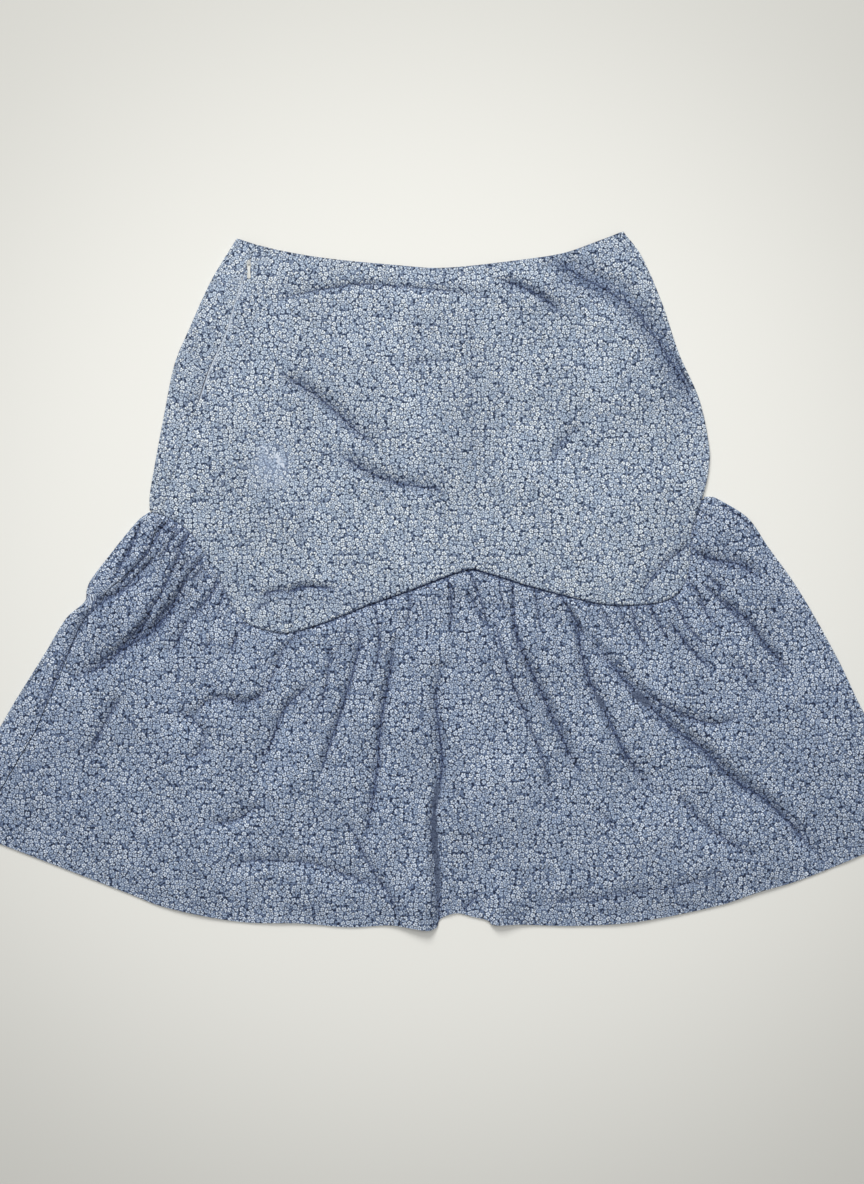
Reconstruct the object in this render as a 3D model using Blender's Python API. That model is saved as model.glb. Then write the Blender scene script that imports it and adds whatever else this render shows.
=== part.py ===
"""Midi skirt laid flat: a fitted hip yoke with a scalloped lower edge, a gathered flounce and a side zip.

X runs across the skirt, +Y towards the waist, +Z up. The origin is on the surface, under the middle of the
laid skirt. Each panel is one cloth wall through rows of sections: every section crosses the front, turns over
at the side folds and comes back along the surface. Lengths are in millimetres until a mesh is made.
"""

import math

import bmesh
import bpy
import numpy as np

MM = 0.001

# Cloth and lay
WALL = 1.2
SEAM_GAP = 0.3
LAY_GAP = 0.4
FOLD_RADIUS = 1.4
BACK_Z = WALL / 2
FRONT_Z = BACK_Z + WALL + LAY_GAP
FOLD_TOP_Z = BACK_Z + 2 * FOLD_RADIUS
FOLD_INSET = FOLD_RADIUS + WALL / 2
FOLD_BLEND = 9.0

# The back shows a little above the waist and stays short of the hem: distance, share of the width or height
BACK_WAIST_RISE = 2.0
BACK_WAIST_SHARE = 0.1
BACK_HEM_LIFT = 5.0
BACK_HEM_SHARE = 0.2
BACK_HEM_SIDES = 0.08

# Outlines of the laid skirt: x and y of each point
WAIST = [(-194.5, 342.0), (-169.5, 334.0), (-111.5, 323.0), (-31.5, 315.0), (8.5, 312.5), (68.5, 318.0),
         (133.5, 328.0), (173.5, 342.0), (191.5, 349.0)]
YOKE_LEFT = [(-194.5, 342.0), (-219.5, 301.0), (-241.5, 253.0), (-256.5, 217.0), (-266.5, 169.0),
             (-275.5, 121.0), (-281.5, 85.0), (-281.5, 70.5)]
YOKE_RIGHT = [(191.5, 349.0), (209.5, 325.0), (230.5, 277.0), (246.5, 229.0), (267.5, 181.0),
              (277.5, 133.0), (277.0, 112.0), (272.5, 90.0), (264.5, 66.0), (259.0, 48.0), (258.0, 21.0),
              (254.5, 3.0), (246.5, -12.0)]
SCALLOPS = [(-281.5, 70.0), (-261.5, 63.0), (-241.5, 49.0), (-227.5, 29.0), (-215.5, 9.0), (-195.5, -31.0),
            (-181.5, -43.0), (-163.5, -49.0), (-145.5, -52.0), (-111.5, -43.0), (-66.5, -25.0), (-21.5, -9.0),
            (23.5, 8.0), (38.5, 12.0), (53.5, 9.0), (98.5, -5.0), (148.5, -18.0), (173.5, -23.0),
            (198.5, -24.0), (231.5, -20.0), (246.5, -12.0)]
SEAM_RIGHT_END = (272.5, 84.0)
FLOUNCE_LEFT = [(-281.5, 69.0), (-294.5, 61.0), (-305.5, 49.0), (-324.5, 25.0), (-342.5, 1.0),
                (-346.5, -10.0), (-347.5, -19.0), (-365.5, -35.0), (-387.5, -71.0), (-417.5, -119.0),
                (-431.5, -143.0), (-470.0, -206.0), (-487.0, -236.0), (-480.0, -248.0)]
FLOUNCE_RIGHT = [(272.5, 84.0), (283.5, 84.0), (305.5, 73.0), (320.5, 61.0), (336.5, 37.0), (362.5, 1.0),
                 (384.5, -35.0), (410.5, -83.0), (427.5, -119.0), (470.0, -200.0), (487.0, -236.0),
                 (480.0, -251.0)]
HEM = [(-480.0, -248.0), (-461.5, -253.0), (-431.5, -264.0), (-371.5, -287.0), (-306.5, -312.0),
       (-266.5, -327.0), (-181.5, -339.0), (-131.5, -345.0), (-81.5, -347.0), (-41.5, -345.0),
       (-16.5, -348.0), (-1.5, -349.5), (5.5, -346.5), (8.5, -339.0), (24.5, -333.0), (41.5, -336.5),
       (56.5, -340.0), (61.5, -345.0), (85.5, -347.0), (128.5, -348.0), (208.5, -341.0), (288.5, -326.0),
       (368.5, -302.0), (432.5, -274.0), (480.0, -251.0)]

# Side seam on the front, near the left fold: share down the piece, distance in from the fold, opening
YOKE_SIDE_SEAM = [(0.0, 21.0, 0.9), (0.045, 23.0, 2.4), (0.09, 25.0, 2.4), (0.14, 28.0, 0.9),
                  (0.31, 35.0, 0.9), (0.4, 35.0, 0.9), (0.49, 34.0, 2.8), (0.545, 33.0, 3.2),
                  (0.575, 32.0, 0.3), (0.78, 22.0, 0.3), (1.0, 15.0, 0.3)]
FLOUNCE_SIDE_SEAM = [(0.0, 15.0, 0.3), (0.06, 24.0, 0.3), (0.12, 33.0, 0.3), (0.22, 26.0, 0.3),
                     (0.29, 15.0, 0.3), (0.44, 20.0, 0.3), (0.53, 27.0, 0.3), (0.67, 34.0, 0.3),
                     (1.0, 36.0, 0.3)]

# Gathers of the front, by zones along the scalloped seam: share where the zone ends, count, height, reach
GATHER_ZONES = [(0.10, 7, 1.7, 58.0), (0.24, 6, 1.5, 55.0), (0.42, 6, 1.1, 42.0), (0.56, 5, 1.6, 76.0),
                (0.72, 6, 1.7, 78.0), (0.86, 5, 1.5, 60.0), (1.0, 5, 1.6, 58.0)]
GATHER_PROFILE = (0.0, 1.0, 0.85)
GATHER_HEIGHT_SWING = (0.2, 2.4)
GATHER_REACH_SWING = (0.3, 3.7)
GATHER_REACH_MEAN = 0.85
GATHER_SEAM_SHARE = 0.55
GATHER_SWELL = 12.0
BACK_GATHERS = 30
BACK_GATHER_HEIGHT = 0.9
BACK_GATHER_REACH = 60.0

# Rise of the front over the back: millimetres down the flounce, height
FLOUNCE_PUFF = [(0.0, 0.6), (25.0, 2.0), (90.0, 3.8), (200.0, 4.2), (300.0, 3.2), (362.0, 1.8)]
YOKE_PUFF = 2.2
YOKE_FLAT_TOP = (0.12, 0.25)
YOKE_FLAT_SEAM = (0.1, 0.5)

# Each crease fades over a share of its length, from a first value: at its start, at its end
CREASE_START = (0.15, 0.35)
CREASE_END = (0.25, 0.25)
CREASE_STEPS = 17

# Creases: x, y where each starts, its middle, where it ends, half width, depth as a share of the rise
FLOUNCE_CREASES = [
    (158.5, -58.0, 245.0, -150.0, 384.5, -270.0, 13.0, 0.95),
    (124.5, -18.0, 170.0, -120.0, 234.5, -222.0, 12.0, 0.85),
    (79.5, -16.0, 108.0, -106.0, 158.5, -211.0, 11.0, 0.7),
    (59.5, -16.0, 70.0, -78.0, 82.5, -140.0, 9.0, 0.6),
    (36.5, -10.0, 46.0, -30.0, 57.5, -52.0, 9.0, 0.6),
    (13.5, -75.0, 6.0, -190.0, 7.5, -330.0, 12.0, 0.95),
    (-35.5, -49.0, -52.0, -165.0, -68.5, -276.0, 12.0, 0.85),
    (-67.5, -40.0, -90.0, -128.0, -114.5, -210.0, 11.0, 0.75),
    (-114.5, -99.0, -152.0, -140.0, -173.5, -192.0, 14.0, 0.65),
    (-117.5, -46.0, -165.0, -98.0, -196.5, -137.0, 12.0, 0.85),
    (-237.5, -137.0, -222.0, -124.0, -208.5, -116.0, 10.0, 0.6),
    (-255.5, -128.0, -226.0, -158.0, -252.5, -181.0, 12.0, 0.6),
    (-243.5, -8.0, -288.0, -54.0, -365.5, -100.0, 15.0, 0.9),
    (-273.5, 18.0, -330.0, -22.0, -391.5, -99.0, 10.0, 0.6),
    (-308.5, -113.0, -327.0, -146.0, -340.5, -183.0, 12.0, 0.5),
    (-208.5, -295.0, -150.0, -280.0, -29.5, -310.0, 12.0, 0.6),
    (-170.5, -222.0, -196.0, -237.0, -226.5, -242.0, 10.0, 0.4),
    (-232.5, -19.0, -262.0, -60.0, -286.5, -74.0, 10.0, 0.6),
    (234.5, -35.0, 262.0, -65.0, 288.5, -92.0, 9.0, 0.5),
    (294.5, -21.0, 331.0, -62.0, 356.5, -106.0, 10.0, 0.5),
    (268.5, 27.0, 302.0, 24.0, 331.5, 1.0, 10.0, 0.7),
    (248.5, -132.0, 276.0, -142.0, 302.5, -153.0, 10.0, 0.5),
    (243.5, -211.0, 290.0, -258.0, 328.5, -279.0, 11.0, 0.5),
    (110.5, -197.0, 117.0, -220.0, 121.5, -242.0, 9.0, 0.5),
    (34.0, -250.0, 33.0, -295.0, 32.0, -333.0, 17.0, 0.85),
    (302.5, -78.0, 316.0, -98.0, 328.5, -118.0, 9.0, 0.4),
]
YOKE_CREASES = [
    (-147.5, 202.0, -103.0, 172.0, -65.5, 143.0, 12.0, 0.7),
    (-80.5, 121.0, -44.0, 102.0, 0.5, 98.0, 12.0, 0.6),
    (-161.5, 274.0, -70.0, 298.0, 67.5, 272.0, 10.0, 0.6),
    (70.5, 300.0, 104.0, 282.0, 133.5, 250.0, 10.0, 0.5),
    (126.5, 320.0, 210.0, 262.0, 267.5, 165.0, 15.0, 0.8),
    (148.5, 154.0, 130.0, 138.0, 119.5, 113.0, 14.0, 0.5),
    (-176.5, -24.0, -145.0, -12.0, -105.5, -9.0, 12.0, 0.5),
    (-128.5, 81.0, -130.0, 50.0, -128.5, 26.0, 12.0, 0.35),
]

# Lobes that stand at the hem: x at the hem, half width, height, reach up from the hem
HEM_LOBES = [(-14.0, 19.0, 4.6, 95.0), (80.0, 18.0, 3.2, 85.0), (-240.0, 26.0, 1.4, 60.0),
             (-150.0, 24.0, 0.9, 50.0), (205.0, 30.0, 1.4, 70.0), (330.0, 28.0, 1.6, 70.0)]

# Rows of sections: shares down the yoke, and millimetres down the flounce
YOKE_ROWS = [0.0, 0.045, 0.09, 0.14, 0.22, 0.31, 0.4, 0.49, 0.545, 0.575, 0.65, 0.715, 0.765, 0.83,
             0.9, 0.96, 1.0]
YOKE_FOLD_END = 0.735
FLOUNCE_DEPTH = 362.0
GATHER_ROWS = [0.0, 14.0, 30.0, 50.0, 78.0]
LOWER_ROWS = [96.0, 108.0, 122.0, 146.0, 170.0, 196.0, 222.0, 248.0, 273.0, 297.0, 318.0, 336.0, 350.0, 362.0]
BACK_GATHER_ROWS = [0.0, 14.0, 50.0]
BACK_LOWER_ROWS = [78.0, 96.0, 108.0, 122.0, 146.0, 196.0, 248.0, 297.0, 336.0, 350.0, 362.0]
YOKE_COLUMNS = 22
FIRST_COLUMN_SPLIT = 0.38
BACK_YOKE_COLUMNS = 14
SCALLOP_STATIONS = 96
LOWER_COLUMNS = 60
BACK_LOWER_COLUMNS = 36
WRAP_SHARES = (0.4, 0.72, 1.0)

# Zip in the side seam
TAPE_WIDTH = 9.0
TAPE_THICK = 0.8
TAPE_Z = WALL + LAY_GAP
CHAIN_WIDTH = 2.4
CHAIN_HEIGHT = 0.4
ZIP_RISE = 2.2
ZIP_SPREAD = 14.0
ZIP_SHARES = (0.008, 0.6)
ZIP_END_FADE = 0.12
TAPE_SECTIONS = 14
SLIDER_SHARE = 0.068
SLIDER_SHIFT = -0.6
SLIDER_CLEAR = 0.2
SLIDER_BASE = (4.4, 8.0, 0.5)
SLIDER_NECK = (1.0, 2.0)
CROWN_WIDTH = 1.9
CROWN_REACH = (-3.0, 1.7)
CROWN_LEG = 0.8
CROWN_WINDOW = 1.0
CROWN_FOOT = 0.4
CROWN_BAR = 0.5
PULL_LENGTH = 17.0
PULL_THICK = 0.6
PULL_RING = 3.6
PULL_DROP = 3.9
PULL_WINDOW = (2.4, 3.3)
PULL_RING_END = 0.6
PULL_NECK = (0.66, 0.58)
DROP_STEPS = 8
DROP_START = 20.0
DROP_TURN = 220.0
PULL_TILT = 3.0

SPAN_STEPS = 12
TURN_ANGLES = (0.0, 45.0, 90.0)
SHARP_ANGLE = 50.0
UP = (0.0, 0.0, 1.0)
DOWN = (0.0, 0.0, -1.0)


class Curve:
    """A line through plan points, smooth or straight between them, read by its share of length."""

    def __init__(self, points, smooth=True):
        knots = np.array(points, dtype=float)
        self.points = self.rounded(knots) if smooth else knots
        steps = np.linalg.norm(np.diff(self.points, axis=0), axis=1)
        self.lengths = np.concatenate([[0.0], np.cumsum(steps)])
        self.length = self.lengths[-1]

    @staticmethod
    def rounded(knots):
        before = np.vstack([knots[:1], knots[:-1]])
        after = np.vstack([knots[1:], knots[-1:]])
        tangents = (after - before) / np.linalg.norm(after - before, axis=1, keepdims=True)
        u = np.linspace(0, 1, SPAN_STEPS + 1)[1:, None]
        dense = [knots[:1]]
        for i in range(len(knots) - 1):
            span = np.linalg.norm(knots[i + 1] - knots[i])
            dense.append((2 * u**3 - 3 * u**2 + 1) * knots[i] + (u**3 - 2 * u**2 + u) * tangents[i] * span
                         + (3 * u**2 - 2 * u**3) * knots[i + 1] + (u**3 - u**2) * tangents[i + 1] * span)
        return np.vstack(dense)

    def at(self, share):
        travelled = np.asarray(share, dtype=float) * self.length
        x = np.interp(travelled, self.lengths, self.points[:, 0])
        y = np.interp(travelled, self.lengths, self.points[:, 1])
        return np.stack([x, y], axis=-1)

    def right_of(self, share):
        """Unit direction to the right of the line's run."""
        step = 4.0 / self.length
        run = self.at(np.minimum(share + step, 1.0)) - self.at(np.maximum(share - step, 0.0))
        run = run / np.linalg.norm(run, axis=-1, keepdims=True)
        return np.stack([run[..., 1], -run[..., 0]], axis=-1)

    def moved(self, distance):
        """The same line, moved to the right of its run."""
        shares = self.lengths / self.length
        return Curve(self.points + self.right_of(shares) * distance, smooth=False)


def smooth_step(u):
    u = np.clip(u, 0.0, 1.0)
    return u * u * (3 - 2 * u)


def read(table, place, column):
    rows = np.array(table)
    return np.interp(place, rows[:, 0], rows[:, column])


def left_by_creases(creases, x, y):
    """Share of the rise that the creases leave at each place."""
    left = np.ones_like(x)
    u = np.linspace(0, 1, CREASE_STEPS)
    for x0, y0, xm, ym, x1, y1, half_width, depth in creases:
        bend_x = 2 * xm - (x0 + x1) / 2
        bend_y = 2 * ym - (y0 + y1) / 2
        line_x = (1 - u)**2 * x0 + 2 * u * (1 - u) * bend_x + u**2 * x1
        line_y = (1 - u)**2 * y0 + 2 * u * (1 - u) * bend_y + u**2 * y1
        distance = np.hypot(x[..., None] - line_x, y[..., None] - line_y)
        nearest = distance.min(axis=-1)
        where = u[distance.argmin(axis=-1)]
        starts = smooth_step(where / CREASE_START[0] + CREASE_START[1])
        ends = smooth_step((1 - where) / CREASE_END[0] + CREASE_END[1])
        left = left * (1 - depth * starts * ends * np.exp(-(nearest / half_width)**2))
    return left


class Tube:
    """Plan of one tube of cloth, the yoke or the flounce, by share across and share down."""

    def __init__(self, top, bottom, left, right, side_seam):
        self.top = top
        self.bottom = bottom
        self.left = left
        self.right = right
        self.side_seam = side_seam

    def plan(self, across, down):
        across, down = np.broadcast_arrays(np.asarray(across, dtype=float), np.asarray(down, dtype=float))
        s = across[..., None]
        t = down[..., None]
        ruled = ((1 - t) * self.top.at(across) + t * self.bottom.at(across)
                 + (1 - s) * self.left.at(down) + s * self.right.at(down))
        corners = ((1 - s) * (1 - t) * self.top.at(0.0) + s * (1 - t) * self.top.at(1.0)
                   + (1 - s) * t * self.bottom.at(0.0) + s * t * self.bottom.at(1.0))
        return ruled - corners

    def width(self, down):
        row = self.plan(np.linspace(0, 1, 41), down)
        return np.linalg.norm(np.diff(row, axis=0), axis=1).sum()

    def seam_share(self, down, side):
        """Share across of the side seam: side -1 is its wrapped edge, 1 the front panel's, 0 between them."""
        distance = read(self.side_seam, down, 1) + side * read(self.side_seam, down, 2) / 2
        return distance / self.width(down)

    def at_folds(self, across, down, height):
        """Bring the front's height to the side folds' own near its edges."""
        inside = np.minimum(across, 1 - across) * self.width(down) - FOLD_INSET
        near = np.exp(-(np.maximum(inside, 0.0) / FOLD_BLEND)**2)
        return height * (1 - near) + FOLD_TOP_Z * near

    def turn(self, side, down, angles, shift=0.0):
        """Points round a side fold: angle 0 is on top, 90 on the outermost line, 180 underneath."""
        edge = self.left if side < 0 else self.right
        outwards = -side * edge.right_of(down)
        middle = edge.at(down) - outwards * FOLD_INSET
        row = []
        for angle in angles:
            out = math.sin(math.radians(angle))
            up = math.cos(math.radians(angle))
            x, y = middle + outwards * FOLD_RADIUS * out
            z = BACK_Z + FOLD_RADIUS * (1 + up) + (shift if angle == 90.0 else 0.0)
            row.append(((x, y, z), (outwards[0] * out, outwards[1] * out, up)))
        return row


class Sheet:
    """Middle surface of a cloth piece: points, faces and the directions in which its wall is measured."""

    def __init__(self):
        self.points = []
        self.faces = []
        self.fixed = {}

    def add_row(self, row):
        """row holds points, each with its fixed direction or None; returns their indices."""
        first = len(self.points)
        for index, (point, direction) in enumerate(row, first):
            self.points.append(point)
            if direction is not None:
                self.fixed[index] = direction
        return list(range(first, first + len(row)))

    def join(self, upper, lower):
        """Fill between two rows: quads where they match, triangles in step where they don't."""
        if len(upper) == len(lower):
            self.faces += zip(upper[:-1], lower[:-1], lower[1:], upper[1:])
            return
        upper_place = self.places(upper)
        lower_place = self.places(lower)
        i = 0
        j = 0
        while i < len(upper) - 1 or j < len(lower) - 1:
            next_upper = upper_place[i + 1] if i < len(upper) - 1 else math.inf
            next_lower = lower_place[j + 1] if j < len(lower) - 1 else math.inf
            if next_upper <= next_lower:
                self.faces.append((upper[i], lower[j], upper[i + 1]))
                i += 1
            else:
                self.faces.append((upper[i], lower[j], lower[j + 1]))
                j += 1

    def places(self, row):
        """Share of the row's plan length at each of its points."""
        points = np.array([self.points[index] for index in row])
        travelled = np.concatenate([[0.0], np.cumsum(np.linalg.norm(np.diff(points, axis=0), axis=1))])
        return travelled / travelled[-1]

    def directions(self):
        points = np.array(self.points)
        normals = np.zeros_like(points)
        for face in self.faces:
            corners = points[list(face)]
            normal = np.cross(corners[2] - corners[0], corners[-1] - corners[1])
            for index in face:
                normals[index] += normal
        normals /= np.linalg.norm(normals, axis=1, keepdims=True)
        for index, direction in self.fixed.items():
            normals[index] = direction
        return normals

    def rim(self):
        """Edges that only one face uses, in that face's direction."""
        used = {edge for face in self.faces for edge in zip(face, face[1:] + face[:1])}
        return sorted(edge for edge in used if edge[::-1] not in used)

    def wall(self, name, material):
        """One closed body, WALL thick, half of it on each side of the middle surface."""
        middle = np.array(self.points)
        offset = self.directions() * WALL / 2
        count = len(middle)
        vertices = np.vstack([middle + offset, middle - offset]) * MM
        faces = list(self.faces)
        faces += [tuple(index + count for index in reversed(face)) for face in self.faces]
        faces += [(b, a, a + count, b + count) for a, b in self.rim()]
        mesh = bpy.data.meshes.new(name)
        mesh.from_pydata(vertices.tolist(), [], faces)
        return finish(name, mesh, material)


def finish(name, mesh, material):
    mesh.materials.append(material)
    mesh.shade_smooth()
    mesh.set_sharp_from_angle(angle=math.radians(SHARP_ANGLE))
    piece = bpy.data.objects.new(name, mesh)
    bpy.context.scene.collection.objects.link(piece)
    return piece


def surface_material(name, colour, roughness, metallic=0.0):
    material = bpy.data.materials.new(name)
    material.use_nodes = True
    shader = material.node_tree.nodes["Principled BSDF"]
    shader.inputs["Base Color"].default_value = (*colour, 1.0)
    shader.inputs["Roughness"].default_value = roughness
    shader.inputs["Metallic"].default_value = metallic
    return material


def run(plan, height, first=None, last=None):
    """A stretch of a row: plan points with their heights, and the directions fixed at its ends."""
    heights = np.broadcast_to(height, len(plan))
    row = [((x, y, z), None) for (x, y), z in zip(plan, heights)]
    if first:
        row[0] = (row[0][0], first)
    if last:
        row[-1] = (row[-1][0], last)
    return row


def all_fixed(row):
    """Stand the wall's end upright along a seam row, apart from where it turns over a fold."""
    return [(point, direction or (UP if point[2] > (FRONT_Z + BACK_Z) / 2 else DOWN))
            for point, direction in row]


def yoke_height(tube, across, down):
    plan = tube.plan(across, down)
    x = plan[..., 0]
    y = plan[..., 1]
    rise = YOKE_PUFF * left_by_creases(YOKE_CREASES, x, y)
    rise = rise * smooth_step(down / YOKE_FLAT_TOP[0] + YOKE_FLAT_TOP[1])
    rise = rise * smooth_step((1 - down) / YOKE_FLAT_SEAM[0] + YOKE_FLAT_SEAM[1])
    seam = tube.plan(tube.seam_share(down, 0), down)
    beside = np.hypot(x - seam[0], y - seam[1])
    hold = np.exp(-(beside / ZIP_SPREAD)**4) * (1 - smooth_step((down - ZIP_SHARES[1]) / ZIP_END_FADE))
    return tube.at_folds(across, down, FRONT_Z + rise * (1 - hold) + ZIP_RISE * hold)


def scallop_line():
    """Stations along the scalloped seam: its lower edge, then up the right side by the yoke's rows."""
    lower = Curve(SCALLOPS).at(np.linspace(0, 1, SCALLOP_STATIONS + 1))
    beside = [down for down in reversed(YOKE_ROWS) if YOKE_FOLD_END < down < 1.0]
    upper = Curve(YOKE_RIGHT).at(np.array(beside))
    return lower, np.vstack([lower, upper, [SEAM_RIGHT_END]])


def yoke_right_end(tube, down, under):
    """The end of a yoke row at its right side: half of the fold, or flat to the seam below the fold."""
    if down < YOKE_FOLD_END:
        angles = [180.0 - angle for angle in reversed(TURN_ANGLES)] if under else TURN_ANGLES
        return tube.turn(1, down, angles, -SEAM_GAP / 2 if under else SEAM_GAP / 2)
    inwards = tube.right.right_of(down)
    row = []
    for distance in (FOLD_INSET, SEAM_GAP * 3, SEAM_GAP / 2):
        x, y = tube.right.at(down) + inwards * distance
        row.append(((x, y, BACK_Z), DOWN) if under else ((x, y, FOLD_TOP_Z), UP))
    return row[::-1] if under else row


def yoke_front_row(tube, down, stations):
    start = tube.seam_share(down, 1)
    shares = np.linspace(0, 1, (SCALLOP_STATIONS if stations is not None else YOKE_COLUMNS) + 1)[:-1]
    if stations is None:
        shares = np.insert(shares, 1, shares[1] * FIRST_COLUMN_SPLIT)
    across = start + (1 - start) * shares
    row = run(tube.plan(across, down), yoke_height(tube, across, down), first=UP)
    return row + yoke_right_end(tube, down, under=False)


def yoke_back_row(tube, down, stations):
    columns = SCALLOP_STATIONS if stations is not None else BACK_YOKE_COLUMNS
    across = np.linspace(1, 0, columns + 1)[1:-1]
    plan = tube.plan(across, down)
    plan[:, 1] += BACK_WAIST_RISE * np.sin(math.pi * across) * (1 - smooth_step(down / BACK_WAIST_SHARE))
    row = yoke_right_end(tube, down, under=True) + run(plan, BACK_Z)
    row += tube.turn(-1, down, (180.0, 135.0, 90.0, 45.0, 0.0))
    start = FOLD_INSET / tube.width(down)
    wrapped = start + (tube.seam_share(down, -1) - start) * np.array(WRAP_SHARES)
    return row + run(tube.plan(wrapped, down), yoke_height(tube, wrapped, down), last=UP)


def build_yoke(material):
    stations, _ = scallop_line()
    bottom = Curve(stations, smooth=False).moved(-SEAM_GAP / 2)
    tube = Tube(Curve(WAIST), bottom, Curve(YOKE_LEFT), Curve(YOKE_RIGHT), YOKE_SIDE_SEAM)
    for name, make_row in (("yoke_front", yoke_front_row), ("yoke_back", yoke_back_row)):
        sheet = Sheet()
        above = None
        for down in YOKE_ROWS:
            at_seam = down == 1.0
            row = make_row(tube, down, stations if at_seam else None)
            below = sheet.add_row(all_fixed(row) if at_seam else row)
            if above:
                sheet.join(above, below)
            above = below
        sheet.wall(name, material)
    return tube


def gather_columns():
    """Shares across the front panel, three to a gather, with each one's height and reach down."""
    shares = []
    heights = []
    reaches = []
    start = 0.0
    gather = 0
    for end, count, height, reach in GATHER_ZONES:
        for step in range(count):
            swing, rate = GATHER_HEIGHT_SWING
            higher = 1 - swing + swing * math.sin(rate * gather)
            swing, rate = GATHER_REACH_SWING
            longer = GATHER_REACH_MEAN + swing * math.sin(rate * gather)
            for part, profile in enumerate(GATHER_PROFILE):
                shares.append(start + (end - start) * (step + part / len(GATHER_PROFILE)) / count)
                heights.append(profile * height * higher)
                reaches.append(reach * longer)
            gather += 1
        start = end
    return np.array(shares), np.array(heights), np.array(reaches)


def corners_met(tube, shares):
    """Move the nearest of the shares to each corner that the seam turns at its right end."""
    turns = tube.top.lengths[SCALLOP_STATIONS - 2:-1] / tube.top.length
    for turn in turns:
        shares[np.argmin(np.abs(shares - turn))] = turn
    return shares


def gather_rise(heights, reaches, depth):
    start = GATHER_SEAM_SHARE + (1 - GATHER_SEAM_SHARE) * smooth_step(depth / GATHER_SWELL)
    return heights * start * (1 - smooth_step(depth / reaches))


def flounce_height(tube, across, down):
    plan = tube.plan(across, down)
    x = plan[..., 0]
    y = plan[..., 1]
    depth = down * FLOUNCE_DEPTH
    rise = read(FLOUNCE_PUFF, depth, 1)
    for centre, half_width, height, reach in HEM_LOBES:
        up_from_hem = (FLOUNCE_DEPTH - depth) / reach
        rise = rise + height * np.exp(-((x - centre) / half_width)**2) * (1 - smooth_step(up_from_hem))
    rise = rise * left_by_creases(FLOUNCE_CREASES, x, y)
    under = BACK_GATHER_HEIGHT * (1 - smooth_step(depth / BACK_GATHER_REACH))
    return FRONT_Z + under + rise


def flounce_front_row(tube, depth, seam_line):
    down = depth / FLOUNCE_DEPTH
    gathered = depth <= GATHER_ROWS[-1]
    if gathered:
        shares, heights, reaches = gather_columns()
    else:
        shares = np.linspace(0, 1, LOWER_COLUMNS + 1)[:-1]
    start = tube.seam_share(down, 1)
    across = start + (1 - start) * shares
    if gathered:
        across = corners_met(tube, across)
    height = flounce_height(tube, across, down)
    if gathered:
        height = height + gather_rise(heights, reaches, depth)
    plan = tube.plan(across, down)
    plan[0] = seam_line(down, 1)
    row = run(plan, tube.at_folds(across, down, height), first=UP)
    return row + tube.turn(1, down, TURN_ANGLES, SEAM_GAP / 2)


def flounce_back_row(tube, depth, seam_line):
    down = depth / FLOUNCE_DEPTH
    gathered = depth <= BACK_GATHER_ROWS[-1]
    columns = BACK_GATHERS * len(GATHER_PROFILE) if gathered else BACK_LOWER_COLUMNS
    across = np.linspace(1, 0, columns + 1)[1:-1]
    if gathered:
        across = corners_met(tube, across)
    plan = tube.plan(across, down)
    from_sides = smooth_step(np.minimum(across, 1 - across) / BACK_HEM_SIDES)
    plan[:, 1] += BACK_HEM_LIFT * from_sides * (1 - smooth_step((1 - down) / BACK_HEM_SHARE))
    height = np.full(len(across), BACK_Z)
    if gathered:
        profile = np.tile(GATHER_PROFILE, BACK_GATHERS)[1:]
        height += gather_rise(BACK_GATHER_HEIGHT * profile, BACK_GATHER_REACH, depth)
    row = tube.turn(1, down, [180.0 - angle for angle in reversed(TURN_ANGLES)], -SEAM_GAP / 2)
    row += run(plan, height)
    row += tube.turn(-1, down, (180.0, 135.0, 90.0, 45.0, 0.0))
    start = FOLD_INSET / tube.width(down)
    wrapped = start + (tube.seam_share(down, -1) - start) * np.array(WRAP_SHARES)
    height = tube.at_folds(wrapped, down, flounce_height(tube, wrapped, down))
    plan = tube.plan(wrapped, down)
    plan[-1] = seam_line(down, -1)
    return row + run(plan, height, last=UP)


def build_flounce(material):
    _, stations = scallop_line()
    top = Curve(stations, smooth=False).moved(SEAM_GAP / 2)
    tube = Tube(top, Curve(HEM), Curve(FLOUNCE_LEFT), Curve(FLOUNCE_RIGHT), FLOUNCE_SIDE_SEAM)
    back_depths = BACK_GATHER_ROWS + BACK_LOWER_ROWS
    shares = np.array(back_depths) / FLOUNCE_DEPTH

    def seam_line(down, side):
        """The side seam runs straight between the back panel's rows, on both of its edges."""
        points = np.array([tube.plan(tube.seam_share(share, side), share) for share in shares])
        return np.array([np.interp(down, shares, points[:, 0]), np.interp(down, shares, points[:, 1])])

    panels = (("flounce_front", flounce_front_row, GATHER_ROWS + LOWER_ROWS),
              ("flounce_back", flounce_back_row, back_depths))
    for name, make_row, depths in panels:
        sheet = Sheet()
        above = None
        for depth in depths:
            row = make_row(tube, depth, seam_line)
            below = sheet.add_row(all_fixed(row) if depth == 0.0 else row)
            if above:
                sheet.join(above, below)
            above = below
        sheet.wall(name, material)


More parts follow.
